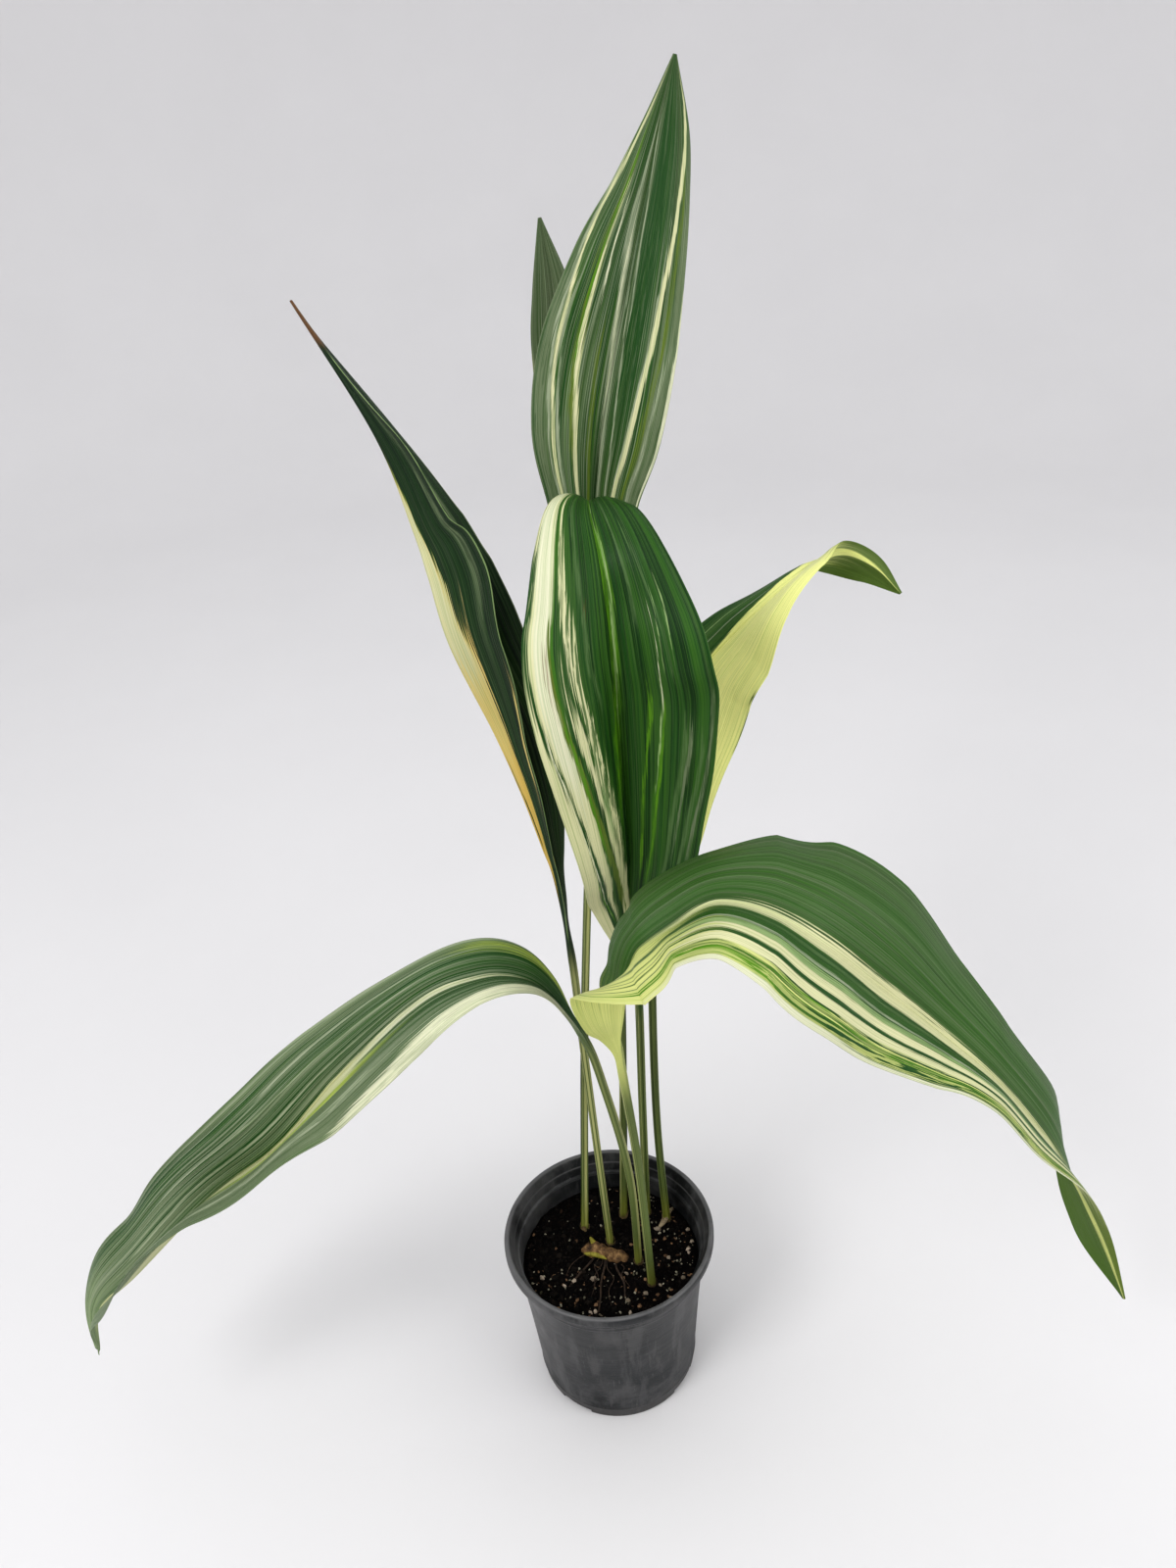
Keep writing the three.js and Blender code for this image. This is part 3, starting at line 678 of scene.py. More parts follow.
# A station is x, y, z, left half width, right half width, the direction that the upper side
# faces, and the fold in degrees. A streak is its tint, start and end along the blade, its
# centre at start, middle and end, its half width at both ends, softness and mottling. The
# blade runs from 0 at its foot to 1 at its tip, and from -1 to 1 across.
leafShape = {
    "stalkRadius": 2.8,
    "groove": 0.4,
    "grooveReach": 1.2,
    "bladeStart": 45,
    "footOverlap": 10,
    "fullWidth": 20,
    "keelDepth": 1.2,
    "keelReach": 1.6,
    "arch": 0.12,
    "pleat": 0.22,
    "pleatTurns": 23,
    "waveLength": 70,
    "marginLag": 2.1,
    "thickness": 0.7,
    "leastHalfWidth": 0.8,
    "samples": 44,
    "stepsPerSpan": 14,
}
tints = {
    "blackGreen": (0.006, 0.020, 0.009),
    "deepGreen": (0.007, 0.038, 0.006),
    "darkGreen": (0.014, 0.074, 0.009),
    "midGreen": (0.042, 0.118, 0.018),
    "softGreen": (0.085, 0.158, 0.052),
    "smokeGreen": (0.056, 0.108, 0.032),
    "brightGreen": (0.105, 0.260, 0.012),
    "paleGreen": (0.290, 0.400, 0.170),
    "greyGreen": (0.150, 0.195, 0.105),
    "silverGreen": (0.340, 0.380, 0.260),
    "leafGreen": (0.050, 0.155, 0.012),
    "oliveGreen": (0.130, 0.190, 0.025),
    "yellowGreen": (0.500, 0.590, 0.110),
    "paleYellow": (0.680, 0.700, 0.260),
    # brighter than the leaf's own yellow: painted glow of light shining through the blade
    "paintedGlowYellow": (0.950, 0.940, 0.360),
    "yellow": (0.740, 0.600, 0.230),
    "warmYellow": (0.780, 0.530, 0.140),
    "cream": (0.680, 0.665, 0.400),
    "paleCream": (0.710, 0.705, 0.510),
    "stalkDarkAndShade": (0.028, 0.048, 0.008),
    "stalkGreen": (0.135, 0.175, 0.055),
    "stalkPaleAndHighlight": (0.440, 0.450, 0.190),
    "footGreen": (0.290, 0.300, 0.045),
    "footBrown": (0.080, 0.050, 0.020),
    "dryBrown": (0.150, 0.075, 0.030),
}


def leafStreakGroup():
    group = bpy.data.node_groups.new("leafStreak", "ShaderNodeTree")
    names = ("Across", "Along", "Ragged", "Fleck", "Comb", "Start", "End", "Centre", "Slope", "Curve",
             "Width", "Widen", "Soft", "Mottle")
    for name in names:
        group.interface.new_socket(name, in_out="INPUT", socket_type="NodeSocketFloat")
    group.interface.new_socket("Mask", in_out="OUTPUT", socket_type="NodeSocketFloat")
    source = group.nodes.new("NodeGroupInput").outputs
    given = {name: source[name] for name in names}
    length = minus(group, given["End"], given["Start"])
    travelled = calc(group, "DIVIDE", minus(group, given["Along"], given["Start"]), length, clamp=True)
    bend = plus(group, given["Slope"], times(group, given["Curve"], travelled))
    centre = plus(group, given["Centre"], times(group, travelled, bend))
    centre = plus(group, centre, given["Ragged"])
    width = plus(group, given["Width"], times(group, given["Widen"], travelled))
    far = calc(group, "ABSOLUTE", minus(group, given["Across"], centre))
    comb = minus(group, given["Comb"], 0.5)
    # fine filaments push the edge in and out, most of all where the streak is mottled
    tear = plus(group, times(group, given["Mottle"], 0.45), 0.20)
    tear = times(group, tear, times(group, width, 12.0, clamp=True))
    far = plus(group, far, times(group, comb, tear))
    edge = times(group, given["Soft"], 0.7)
    inner = minus(group, width, edge)
    outer = plus(group, width, edge)
    mask = ease(group, far, inner, outer, 1.0, 0.0)
    shifted = plus(group, given["Along"], times(group, minus(group, given["Fleck"], 0.5), 0.10))
    shifted = plus(group, shifted, times(group, comb, 0.26))
    fade = plus(group, times(group, given["Soft"], 1.2), 0.008)
    begins = ease(group, shifted, minus(group, given["Start"], fade), plus(group, given["Start"], fade))
    stops = ease(group, shifted, minus(group, given["End"], fade), plus(group, given["End"], fade), 1.0, 0.0)
    broken = ease(group, given["Fleck"], 0.49, 0.53)
    whole = minus(group, 1.0, times(group, broken, given["Mottle"]))
    mask = times(group, times(group, mask, whole), times(group, begins, stops))
    target = group.nodes.new("NodeGroupOutput")
    group.links.new(mask, target.inputs["Mask"])
    return group


streakGroup = leafStreakGroup()
veinNoises = {  # scale across and along, shift, detail, roughness
    "bands": (15.0, 1.3, (5, 0), 3.0, 0.6),
    "lines": (38.0, 1.3, (0, 0), 3.0, 0.6),
    "threads": (95.0, 2.6, (3, 1), 2.0, 0.6),
    "fleck": (36.0, 17.0, (7, 2), 3.0, 0.6),
    "comb": (46.0, 5.0, (6, 3), 3.0, 0.65),
    "warm": (22.0, 2.2, (9, 4), 3.0, 0.6),
    "fine": (58.0, 2.0, (8, 6), 3.0, 0.65),
    "cloud": (1.6, 2.6, (1, 5), 3.0, 0.5),
    "wander": (0.7, 6.0, (2, 9), 4.0, 0.6),
    "stripe": (2.6, 0.35, (4, 4), 2.0, 0.5),
}


def veinedGreen(tree, leaf, field):
    darker, lighter = (tints[tint] for tint in leaf["base"])
    lineTint, lineAmount, lineEdge = leaf["lines"]
    fineTint, fineAmount, fineEdge = leaf["fine"]
    lines, threads = field["lines"], field["threads"]
    mixed = plus(tree, times(tree, field["bands"], 0.8), times(tree, field["cloud"], 0.2))
    colour = blendColour(tree, ease(tree, mixed, 0.45, 0.56), darker, lighter)
    for mask, tint in (
            (ease(tree, lines, lineEdge, lineEdge + 0.10, 0.0, lineAmount), tints[lineTint]),
            (ease(tree, lines, 0.38, 0.47, 0.45, 0.0), shaded(darker, 0.45)),
            (ease(tree, field["warm"], 0.52, 0.62, 0.0, leaf["warmth"]), tints["leafGreen"]),
            (ease(tree, threads, 0.53, 0.60, 0.0, lineAmount * 0.7), tints[lineTint]),
            (ease(tree, field["fine"], fineEdge, fineEdge + 0.06, 0.0, fineAmount), tints[fineTint])):
        colour = blendColour(tree, mask, colour, tint)
    return colour


def streakedOver(tree, leaf, colour, field, across, along):
    ragged = times(tree, minus(tree, field["wander"], 0.5), 0.055)
    ragged = plus(tree, ragged, times(tree, minus(tree, field["fleck"], 0.5), 0.03))
    for tint, start, end, (low, middle, high), widths, soft, mottle in leaf["streaks"]:
        streak = addNode(tree, "ShaderNodeGroup", node_tree=streakGroup)
        given = {"Across": across, "Along": along, "Ragged": ragged, "Fleck": field["fleck"],
                 "Comb": field["comb"], "Start": start, "End": end, "Centre": low,
                 "Slope": 4 * middle - 3 * low - high, "Curve": 2 * low - 4 * middle + 2 * high,
                 "Width": widths[0], "Widen": widths[1] - widths[0], "Soft": soft, "Mottle": mottle}
        for socket, value in given.items():
            feed(tree, streak.inputs[socket], value)
        colour = blendColour(tree, streak.outputs[0], colour, tints[tint])
    threadTint = ramp(tree, field["threads"], [(0.38, (0.70, 0.78, 0.66)), (0.54, (1.0, 1.0, 1.0))])
    return blendColour(tree, 1.0, colour, threadTint, "MULTIPLY")


def stalkColour(tree, leaf, field):
    # green with a paler stripe and a darker side, partly the stalk's own stripe and partly painted highlight
    # and painted shade on the round stalk; yellower at the foot and brown at the soil
    height = partOf(tree, objectPoint(tree), "Z")
    stops = [(0.34, "stalkDarkAndShade"), (0.46, "stalkGreen"), (0.55, "stalkGreen"), (0.63, "stalkPaleAndHighlight")]
    colour = ramp(tree, field["stripe"], [(place - leaf["stalk"], tints[tint]) for place, tint in stops])
    colour = blendColour(tree, ease(tree, height, 0.104, 0.140, 0.65, 0.0), colour, tints["footGreen"])
    return blendColour(tree, ease(tree, height, 0.103, 0.109, 0.75, 0.0), colour, tints["footBrown"])


def leafMaterial(name, leaf):
    material, tree, shader = startMaterial(name, 0.46, 0.2)
    across, along, under = (addNode(tree, "ShaderNodeAttribute", attribute_name=layer).outputs["Fac"]
                            for layer in ("across", "along", "under"))
    flat = addNode(tree, "ShaderNodeCombineXYZ")
    tree.links.new(across, flat.inputs[0])
    tree.links.new(along, flat.inputs[1])
    flat.inputs[2].default_value = leaf["seed"]
    field = {kind: noiseOf(tree, stretched(tree, flat.outputs[0], (wide, long, 1), (*shift, 0)), 1.0, *grain)
             for kind, (wide, long, shift, *grain) in veinNoises.items()}
    colour = streakedOver(tree, leaf, veinedGreen(tree, leaf, field), field, across, along)
    backTint, backAmount = leaf["back"]
    colour = blendColour(tree, under, colour, blendColour(tree, backAmount, colour, tints[backTint]))
    colour = blendColour(tree, ease(tree, along, -0.03, 0.05), stalkColour(tree, leaf, field), colour)
    if "tip" in leaf:
        dry = plus(tree, along, times(tree, field["fleck"], 0.02))
        dry = ease(tree, dry, leaf["tip"], leaf["tip"] + 0.02)
        colour = blendColour(tree, dry, colour, tints["dryBrown"])
    tree.links.new(colour, shader.inputs["Base Color"])
    rough = plus(tree, 0.36, times(tree, field["cloud"], 0.16))
    tree.links.new(plus(tree, rough, times(tree, under, 0.14)), shader.inputs["Roughness"])
    relief = plus(tree, times(tree, field["lines"], 0.6), times(tree, field["threads"], 0.4))
    bumpOf(tree, shader, relief, 0.0009, 0.6)
    return material


def leafMesh(leaf):
    stations, shape = leaf["stations"], leafShape
    spans = len(stations) - 1
    rows = spans * leaf.get("steps", shape["stepsPerSpan"])
    half = shape["samples"]
    columns = 2 * (half + 1)
    places = [curveAt(stations, row / rows) for row in range(rows + 1)]
    spots = [Vector(place[:3]) for place in places]
    reach = [0.0]
    for first, second in zip(spots, spots[1:]):
        reach.append(reach[-1] + (second - first).length)
    total = reach[-1]
    start = reach[(leaf["stalkStations"] - 1) * rows // spans]
    least = shape["leastHalfWidth"]
    frames = []
    for row, place in enumerate(places):
        t = row / rows
        low, high = max(t - 0.001, 0), min(t + 0.001, 1)
        ahead = (Vector(curveAt(stations, high)[:3]) - Vector(curveAt(stations, low)[:3])).normalized()
        face = Vector(place[5:8])
        up = (face - ahead * face.dot(ahead)).normalized()
        side = ahead.cross(up)
        left, right = (max(width, least) for width in place[3:5])
        frames.append((spots[row], up, side, left, right, math.radians(place[8])))
    # margins and midrib get the closest samples
    samples = []
    for k in range(half + 1):
        q = 2 * k / half - 1
        samples.append(math.copysign((1 - math.cos(math.pi * abs(q))) / 2, q))

    def pointAt(row, column):
        centre, up, side, left, right, fold = frames[row]
        over = column <= half
        u = samples[column if over else 2 * half + 1 - column]
        blade = smooth(reach[row], start - 5, start + shape["bladeStart"])
        towardsTip = (reach[row] - start) / (total - start)
        keel = shape["keelDepth"] * min(max(1 - towardsTip, 0.2), 1)
        width = left if u < 0 else right
        bend = fold * blade
        out = abs(u) * width
        swing = 2 * math.pi * reach[row] / shape["waveLength"] + leaf["wavePhase"]
        swing += 0 if u < 0 else shape["marginLag"]
        grown = blade * min(1, width / shape["fullWidth"])
        wave = leaf["waveHeight"] * grown * u * u * math.sin(swing)
        pleat = shape["pleat"] * grown * math.sin(shape["pleatTurns"] * abs(u)) * (1 - u * u)
        arch = shape["arch"] * width * math.sin(math.pi * abs(u)) * blade
        rise = out * math.sin(bend) + arch + wave + pleat
        sign = 0 if u == 0 else math.copysign(1, u)
        sideways = sign * out * math.cos(bend)
        thick = shape["thickness"] / 2 * (1 - 0.5 * abs(u) ** 8) * (1 if over else -1)
        leanIn = -sign * math.sin(bend) * thick
        upright = (1 if u == 0 else math.cos(bend)) * thick
        keelDrop = 0 if over else keel * blade * math.exp(-(out / shape["keelReach"]) ** 2)
        flat = centre + side * (sideways + leanIn) + up * (rise + upright - keelDrop)
        turn = math.pi - (column + 0.5) * math.pi / (half + 1)
        radius = shape["stalkRadius"]
        ring = Vector((radius * math.cos(turn), radius * math.sin(turn)))
        if over:
            ring.y *= 1 - shape["groove"] * math.exp(-(ring.x / shape["grooveReach"]) ** 2)
        stalk = centre + side * ring.x + up * ring.y
        spot = stalk.lerp(flat, blade)
        along = (reach[row] - start + shape["footOverlap"]) / (total - start + shape["footOverlap"])
        return spot * mm, u, along, 0.0 if over else 1.0

    return wrappedGrid(columns, rows, pointAt, ("across", "along", "under"))


# a torn brown sheath, left from the young leaf, stands round the foot of each stalk
footSheath = {
    "foot": 101.0,
    "top": 111.5,
    "inner": 2.95,
    "thickness": 0.35,
    "flare": 0.5,
    "columns": 26,
    "rows": 12,
    "tones": [(0.3, (0.070, 0.045, 0.022)), (0.7, (0.26, 0.19, 0.09))],
}
sheathSkin = rootMaterial("stalkSheath", footSheath["tones"], 260.0, 0.75)


def sheathMesh(leaf):
    stations, shape = leaf["stations"], footSheath
    foot, lip = shape["foot"], shape["rows"]
    bottom, span = stations[0][2], (stations[1][2] - stations[0][2]) * (len(stations) - 1)

    def pointAt(row, column):
        turn = 2 * math.pi * column / shape["columns"]
        around = Vector((math.cos(turn), math.sin(turn), 0))
        torn = 0.55 + 0.45 * noise.noise(around * 1.7 + Vector((0, 0, leaf["seed"])))
        raised = 1 - abs(row - lip) / lip
        height = foot + (shape["top"] - foot) * torn * raised
        outside = row <= lip
        if not outside:
            height += 0.3 * (1 - raised)
        radius = shape["inner"] + shape["flare"] * raised * torn + (shape["thickness"] if outside else 0)
        centre = Vector(curveAt(stations, (height - bottom) / span)[:3])
        return (centre + around * radius) * mm,

    return wrappedGrid(shape["columns"], 2 * lip, pointAt)


def addLeaf(node, leaf):
    name = node.replace("leaf_", "").title().replace("_", "")
    meshPiece(f"stalkSheath{name}", sheathMesh(leaf), sheathSkin)
    meshPiece(f"leaf{name}", leafMesh(leaf), leafMaterial(f"leafSkin{name}", leaf), node)
    print(f"leaf {name} made")


leftArchingLeaf = {
    "stalkStations": 4, "wavePhase": 0.5, "waveHeight": 0.45,
    "stations": [
        (20, -8, 92, 3, 3, 0.4, -0.2, 0.9, 20), (18, -12, 196, 3, 3, 0.4, -0.2, 0.9, 20),
        (5, -21, 292, 3, 3, 0.4, -0.2, 0.9, 20), (-4, -27, 335, 3, 3, 0.4, -0.2, 0.9, 20),
        (-21, -31, 373, 9, 11, 0.4, -0.2, 0.9, 19), (-38, -35, 391, 16, 20, 0.3, -0.2, 0.9, 20),
        (-62, -40, 397, 24, 23, 0.2, -0.3, 0.9, 21), (-97, -43, 385, 37, 23, 0, -0.4, 0.9, 17),
        (-153, -39, 330, 42, 35, -0.3, -0.5, 0.8, 26), (-196, -48, 287, 36, 42, -0.7, -0.5, 0.5, 42),
        (-246, -46, 247, 31, 37, -0.9, -0.4, 0.2, 42), (-304, -60, 196, 25, 38, -1, -0.1, 0.1, 29),
        (-340, -55, 158, 15, 23, -0.9, -0.3, 0.3, 21), (-352, -54, 117, 4, 4, -0.7, -0.6, 0.4, 21),
    ],
    "seed": 1.3, "base": ("darkGreen", "greyGreen"), "lines": ("silverGreen", 0.5, 0.53),
    "fine": ("silverGreen", 0.5, 0.55), "warmth": 0.3,
    "stalk": 0, "back": ("greyGreen", 0.25),
    "streaks": [
        ("darkGreen", -0.1, 0.17, (0.2, 0.3, 0.4), (1, 0.8), 0.1, 0.2),
        ("yellowGreen", 0.03, 0.16, (0.85, 0.8, 0.75), (0.22, 0.14), 0.06, 0.35),
        ("greyGreen", 0.3, 1, (-0.6, -0.6, -0.55), (0.3, 0.38), 0.1, 0.4),
        ("silverGreen", 0.3, 0.8, (-0.55, -0.62, -0.7), (0.06, 0.05), 0.03, 0.6),
        ("silverGreen", 0.4, 0.86, (-0.34, -0.4, -0.44), (0.03, 0.03), 0.02, 0.6),
        ("paleCream", 0.06, 0.46, (-0.84, -0.88, -1.02), (0.3, 0.05), 0.03, 0.25),
        ("paleCream", 0.15, 0.46, (-0.02, -0.04, -0.07), (0.06, 0.1), 0.02, 0),
        ("yellowGreen", 0.34, 0.6, (-0.27, -0.3, -0.3), (0.06, 0.06), 0.05, 0.35),
        ("cream", 0.38, 0.95, (-0.11, -0.12, -0.1), (0.14, 0.12), 0.02, 0.05),
        ("silverGreen", 0.22, 0.52, (0.66, 0.68, 0.64), (0.02, 0.02), 0.012, 0.1),
        ("silverGreen", 0.3, 0.8, (0.22, 0.25, 0.24), (0.012, 0.015), 0.01, 0.2),
        ("silverGreen", 0.24, 0.7, (0.42, 0.46, 0.5), (0.01, 0.012), 0.01, 0.2),
        ("silverGreen", 0.16, 0.45, (0.97, 0.95, 0.98), (0.04, 0.03), 0.02, 0.1),
        ("paleGreen", 0.93, 1.05, (0, 0, 0), (1.3, 1.3), 0.08, 0.6),
    ],
}
addLeaf("leaf_left_arching", leftArchingLeaf)

rightArchingLeaf = {
    "stalkStations": 3, "wavePhase": 2.4, "waveHeight": 0.55, "steps": 9,
    "stations": [
        (28, -27, 92, 3, 3, -0.4, 0.7, 0.6, 20), (24, -36, 226, 3, 3, -0.4, 0.7, 0.6, 20),
        (18, -50, 321, 3, 3, -0.4, 0.7, 0.6, 20), (17, -54, 342, 4, 4, -0.6, 0.7, 0.5, 29),
        (17, -58, 359, 8, 10, -0.8, 0.5, 0.3, 45), (19, -65, 379, 16, 22, -0.9, 0.3, -0.1, 52),
        (21, -68, 394, 20, 29, -0.9, 0.2, 0.4, 56), (23, -70, 405, 21, 32, -0.8, 0.3, 0.5, 50),
        (26, -71, 418, 24, 32, -0.7, 0, 0.7, 27), (30, -72, 430, 27, 37, -0.5, -0.2, 0.8, 7),
        (36, -73, 437, 31, 38, -0.5, -0.2, 0.8, 7), (50, -72, 446, 36, 39, -0.3, -0.1, 0.9, 12),
        (73, -73, 460, 40, 47, 0.1, -0.1, 1, 4), (100, -77, 454, 57, 53, 0.7, -0.3, 0.7, 3),
        (128, -81, 434, 66, 51, 0.5, -0.5, 0.8, 0), (161, -71, 395, 61, 48, 0.4, -0.6, 0.7, 9),
        (199, -65, 353, 46, 40, 0.4, -0.5, 0.8, 13), (232, -71, 320, 34, 27, 0.4, -0.4, 0.8, 14),
        (265, -68, 273, 29, 21, 0.4, -0.5, 0.8, 11), (290, -67, 230, 23, 13, 0.6, 0, 0.8, 7),
        (314, -61, 181, 17, 8, 0.5, 0.7, 0.5, 2), (334, -55, 136, 15, 5, 0.4, 0.9, 0.2, 4),
        (352, -57, 87, 1, 1, 0.4, 0.9, 0.1, 14),
    ],
    "seed": 2.1, "base": ("midGreen", "smokeGreen"), "lines": ("softGreen", 0.6, 0.5),
    "fine": ("greyGreen", 0.55, 0.55), "warmth": 0.25,
    "stalk": 0.02, "back": ("yellowGreen", 0.1),
    "streaks": [
        ("paleYellow", -0.05, 0.07, (-0.5, -0.5, -0.5), (0.9, 0.5), 0.05, 0.3),
        ("paleYellow", -0.05, 0.245, (0.6, 0.6, 0.6), (0.75, 0.58), 0.04, 0),
        ("softGreen", 0.15, 0.28, (0.38, 0.34, 0.25), (0.02, 0.06), 0.02, 0.3),
        ("midGreen", 0.15, 0.28, (0.52, 0.49, 0.47), (0.008, 0.016), 0.008, 0.4),
        ("softGreen", 0.14, 0.28, (0.59, 0.57, 0.56), (0.006, 0.012), 0.006, 0.4),
        ("midGreen", 0.15, 0.28, (0.66, 0.63, 0.62), (0.008, 0.015), 0.008, 0.4),
        ("softGreen", 0.14, 0.28, (0.75, 0.72, 0.7), (0.006, 0.012), 0.006, 0.4),
        ("brightGreen", 0.13, 0.28, (0.84, 0.82, 0.8), (0.02, 0.05), 0.015, 0.7),
        ("cream", 0.22, 0.8, (0.045, 0.07, 0.2), (0.07, 0.19), 0.02, 0.05),
        ("darkGreen", 0.24, 0.74, (0.26, 0.32, 0.5), (0.14, 0.1), 0.03, 0.15),
        ("midGreen", 0.26, 0.78, (0.3, 0.37, 0.52), (0.07, 0.05), 0.02, 0.4),
        ("softGreen", 0.24, 0.7, (0.2, 0.26, 0.44), (0.025, 0.02), 0.012, 0.4),
        ("silverGreen", 0.26, 0.74, (0.36, 0.4, 0.5), (0.016, 0.014), 0.008, 0.4),
        ("paleGreen", 0.24, 0.8, (0.44, 0.47, 0.52), (0.04, 0.03), 0.02, 0.3),
        ("midGreen", 0.26, 0.82, (0.49, 0.51, 0.54), (0.016, 0.014), 0.008, 0.35),
        ("cream", 0.24, 0.84, (0.53, 0.55, 0.57), (0.05, 0.045), 0.015, 0.05),
        ("darkGreen", 0.26, 0.84, (0.61, 0.63, 0.64), (0.02, 0.02), 0.01, 0.1),
        ("cream", 0.24, 0.84, (0.69, 0.71, 0.72), (0.055, 0.05), 0.015, 0.05),
        ("paleYellow", 0.26, 0.86, (0.85, 0.85, 0.86), (0.1, 0.1), 0.02, 0.1),
        ("darkGreen", 0.3, 0.8, (0.74, 0.76, 0.77), (0.012, 0.014), 0.006, 0.5),
        ("midGreen", 0.24, 0.84, (0.8, 0.81, 0.8), (0.025, 0.02), 0.012, 0.4),
        ("brightGreen", 0.26, 0.84, (0.87, 0.87, 0.86), (0.07, 0.06), 0.02, 0.75),
        ("darkGreen", 0.32, 0.82, (0.89, 0.9, 0.88), (0.05, 0.04), 0.015, 0.8),
        ("paleCream", 0.2, 0.9, (0.99, 0.99, 0.99), (0.05, 0.04), 0.02, 0.1),
        ("midGreen", 0.79, 1.1, (-0.6, -0.6, -0.6), (0.55, 0.55), 0.08, 0.2),
        ("oliveGreen", 0.8, 1.1, (0.65, 0.65, 0.6), (0.45, 0.45), 0.08, 0.5),
        ("paleYellow", 0.78, 1.1, (0.02, 0.02, 0.05), (0.15, 0.1), 0.05, 0.2),
    ],
}
addLeaf("leaf_right_arching", rightArchingLeaf)

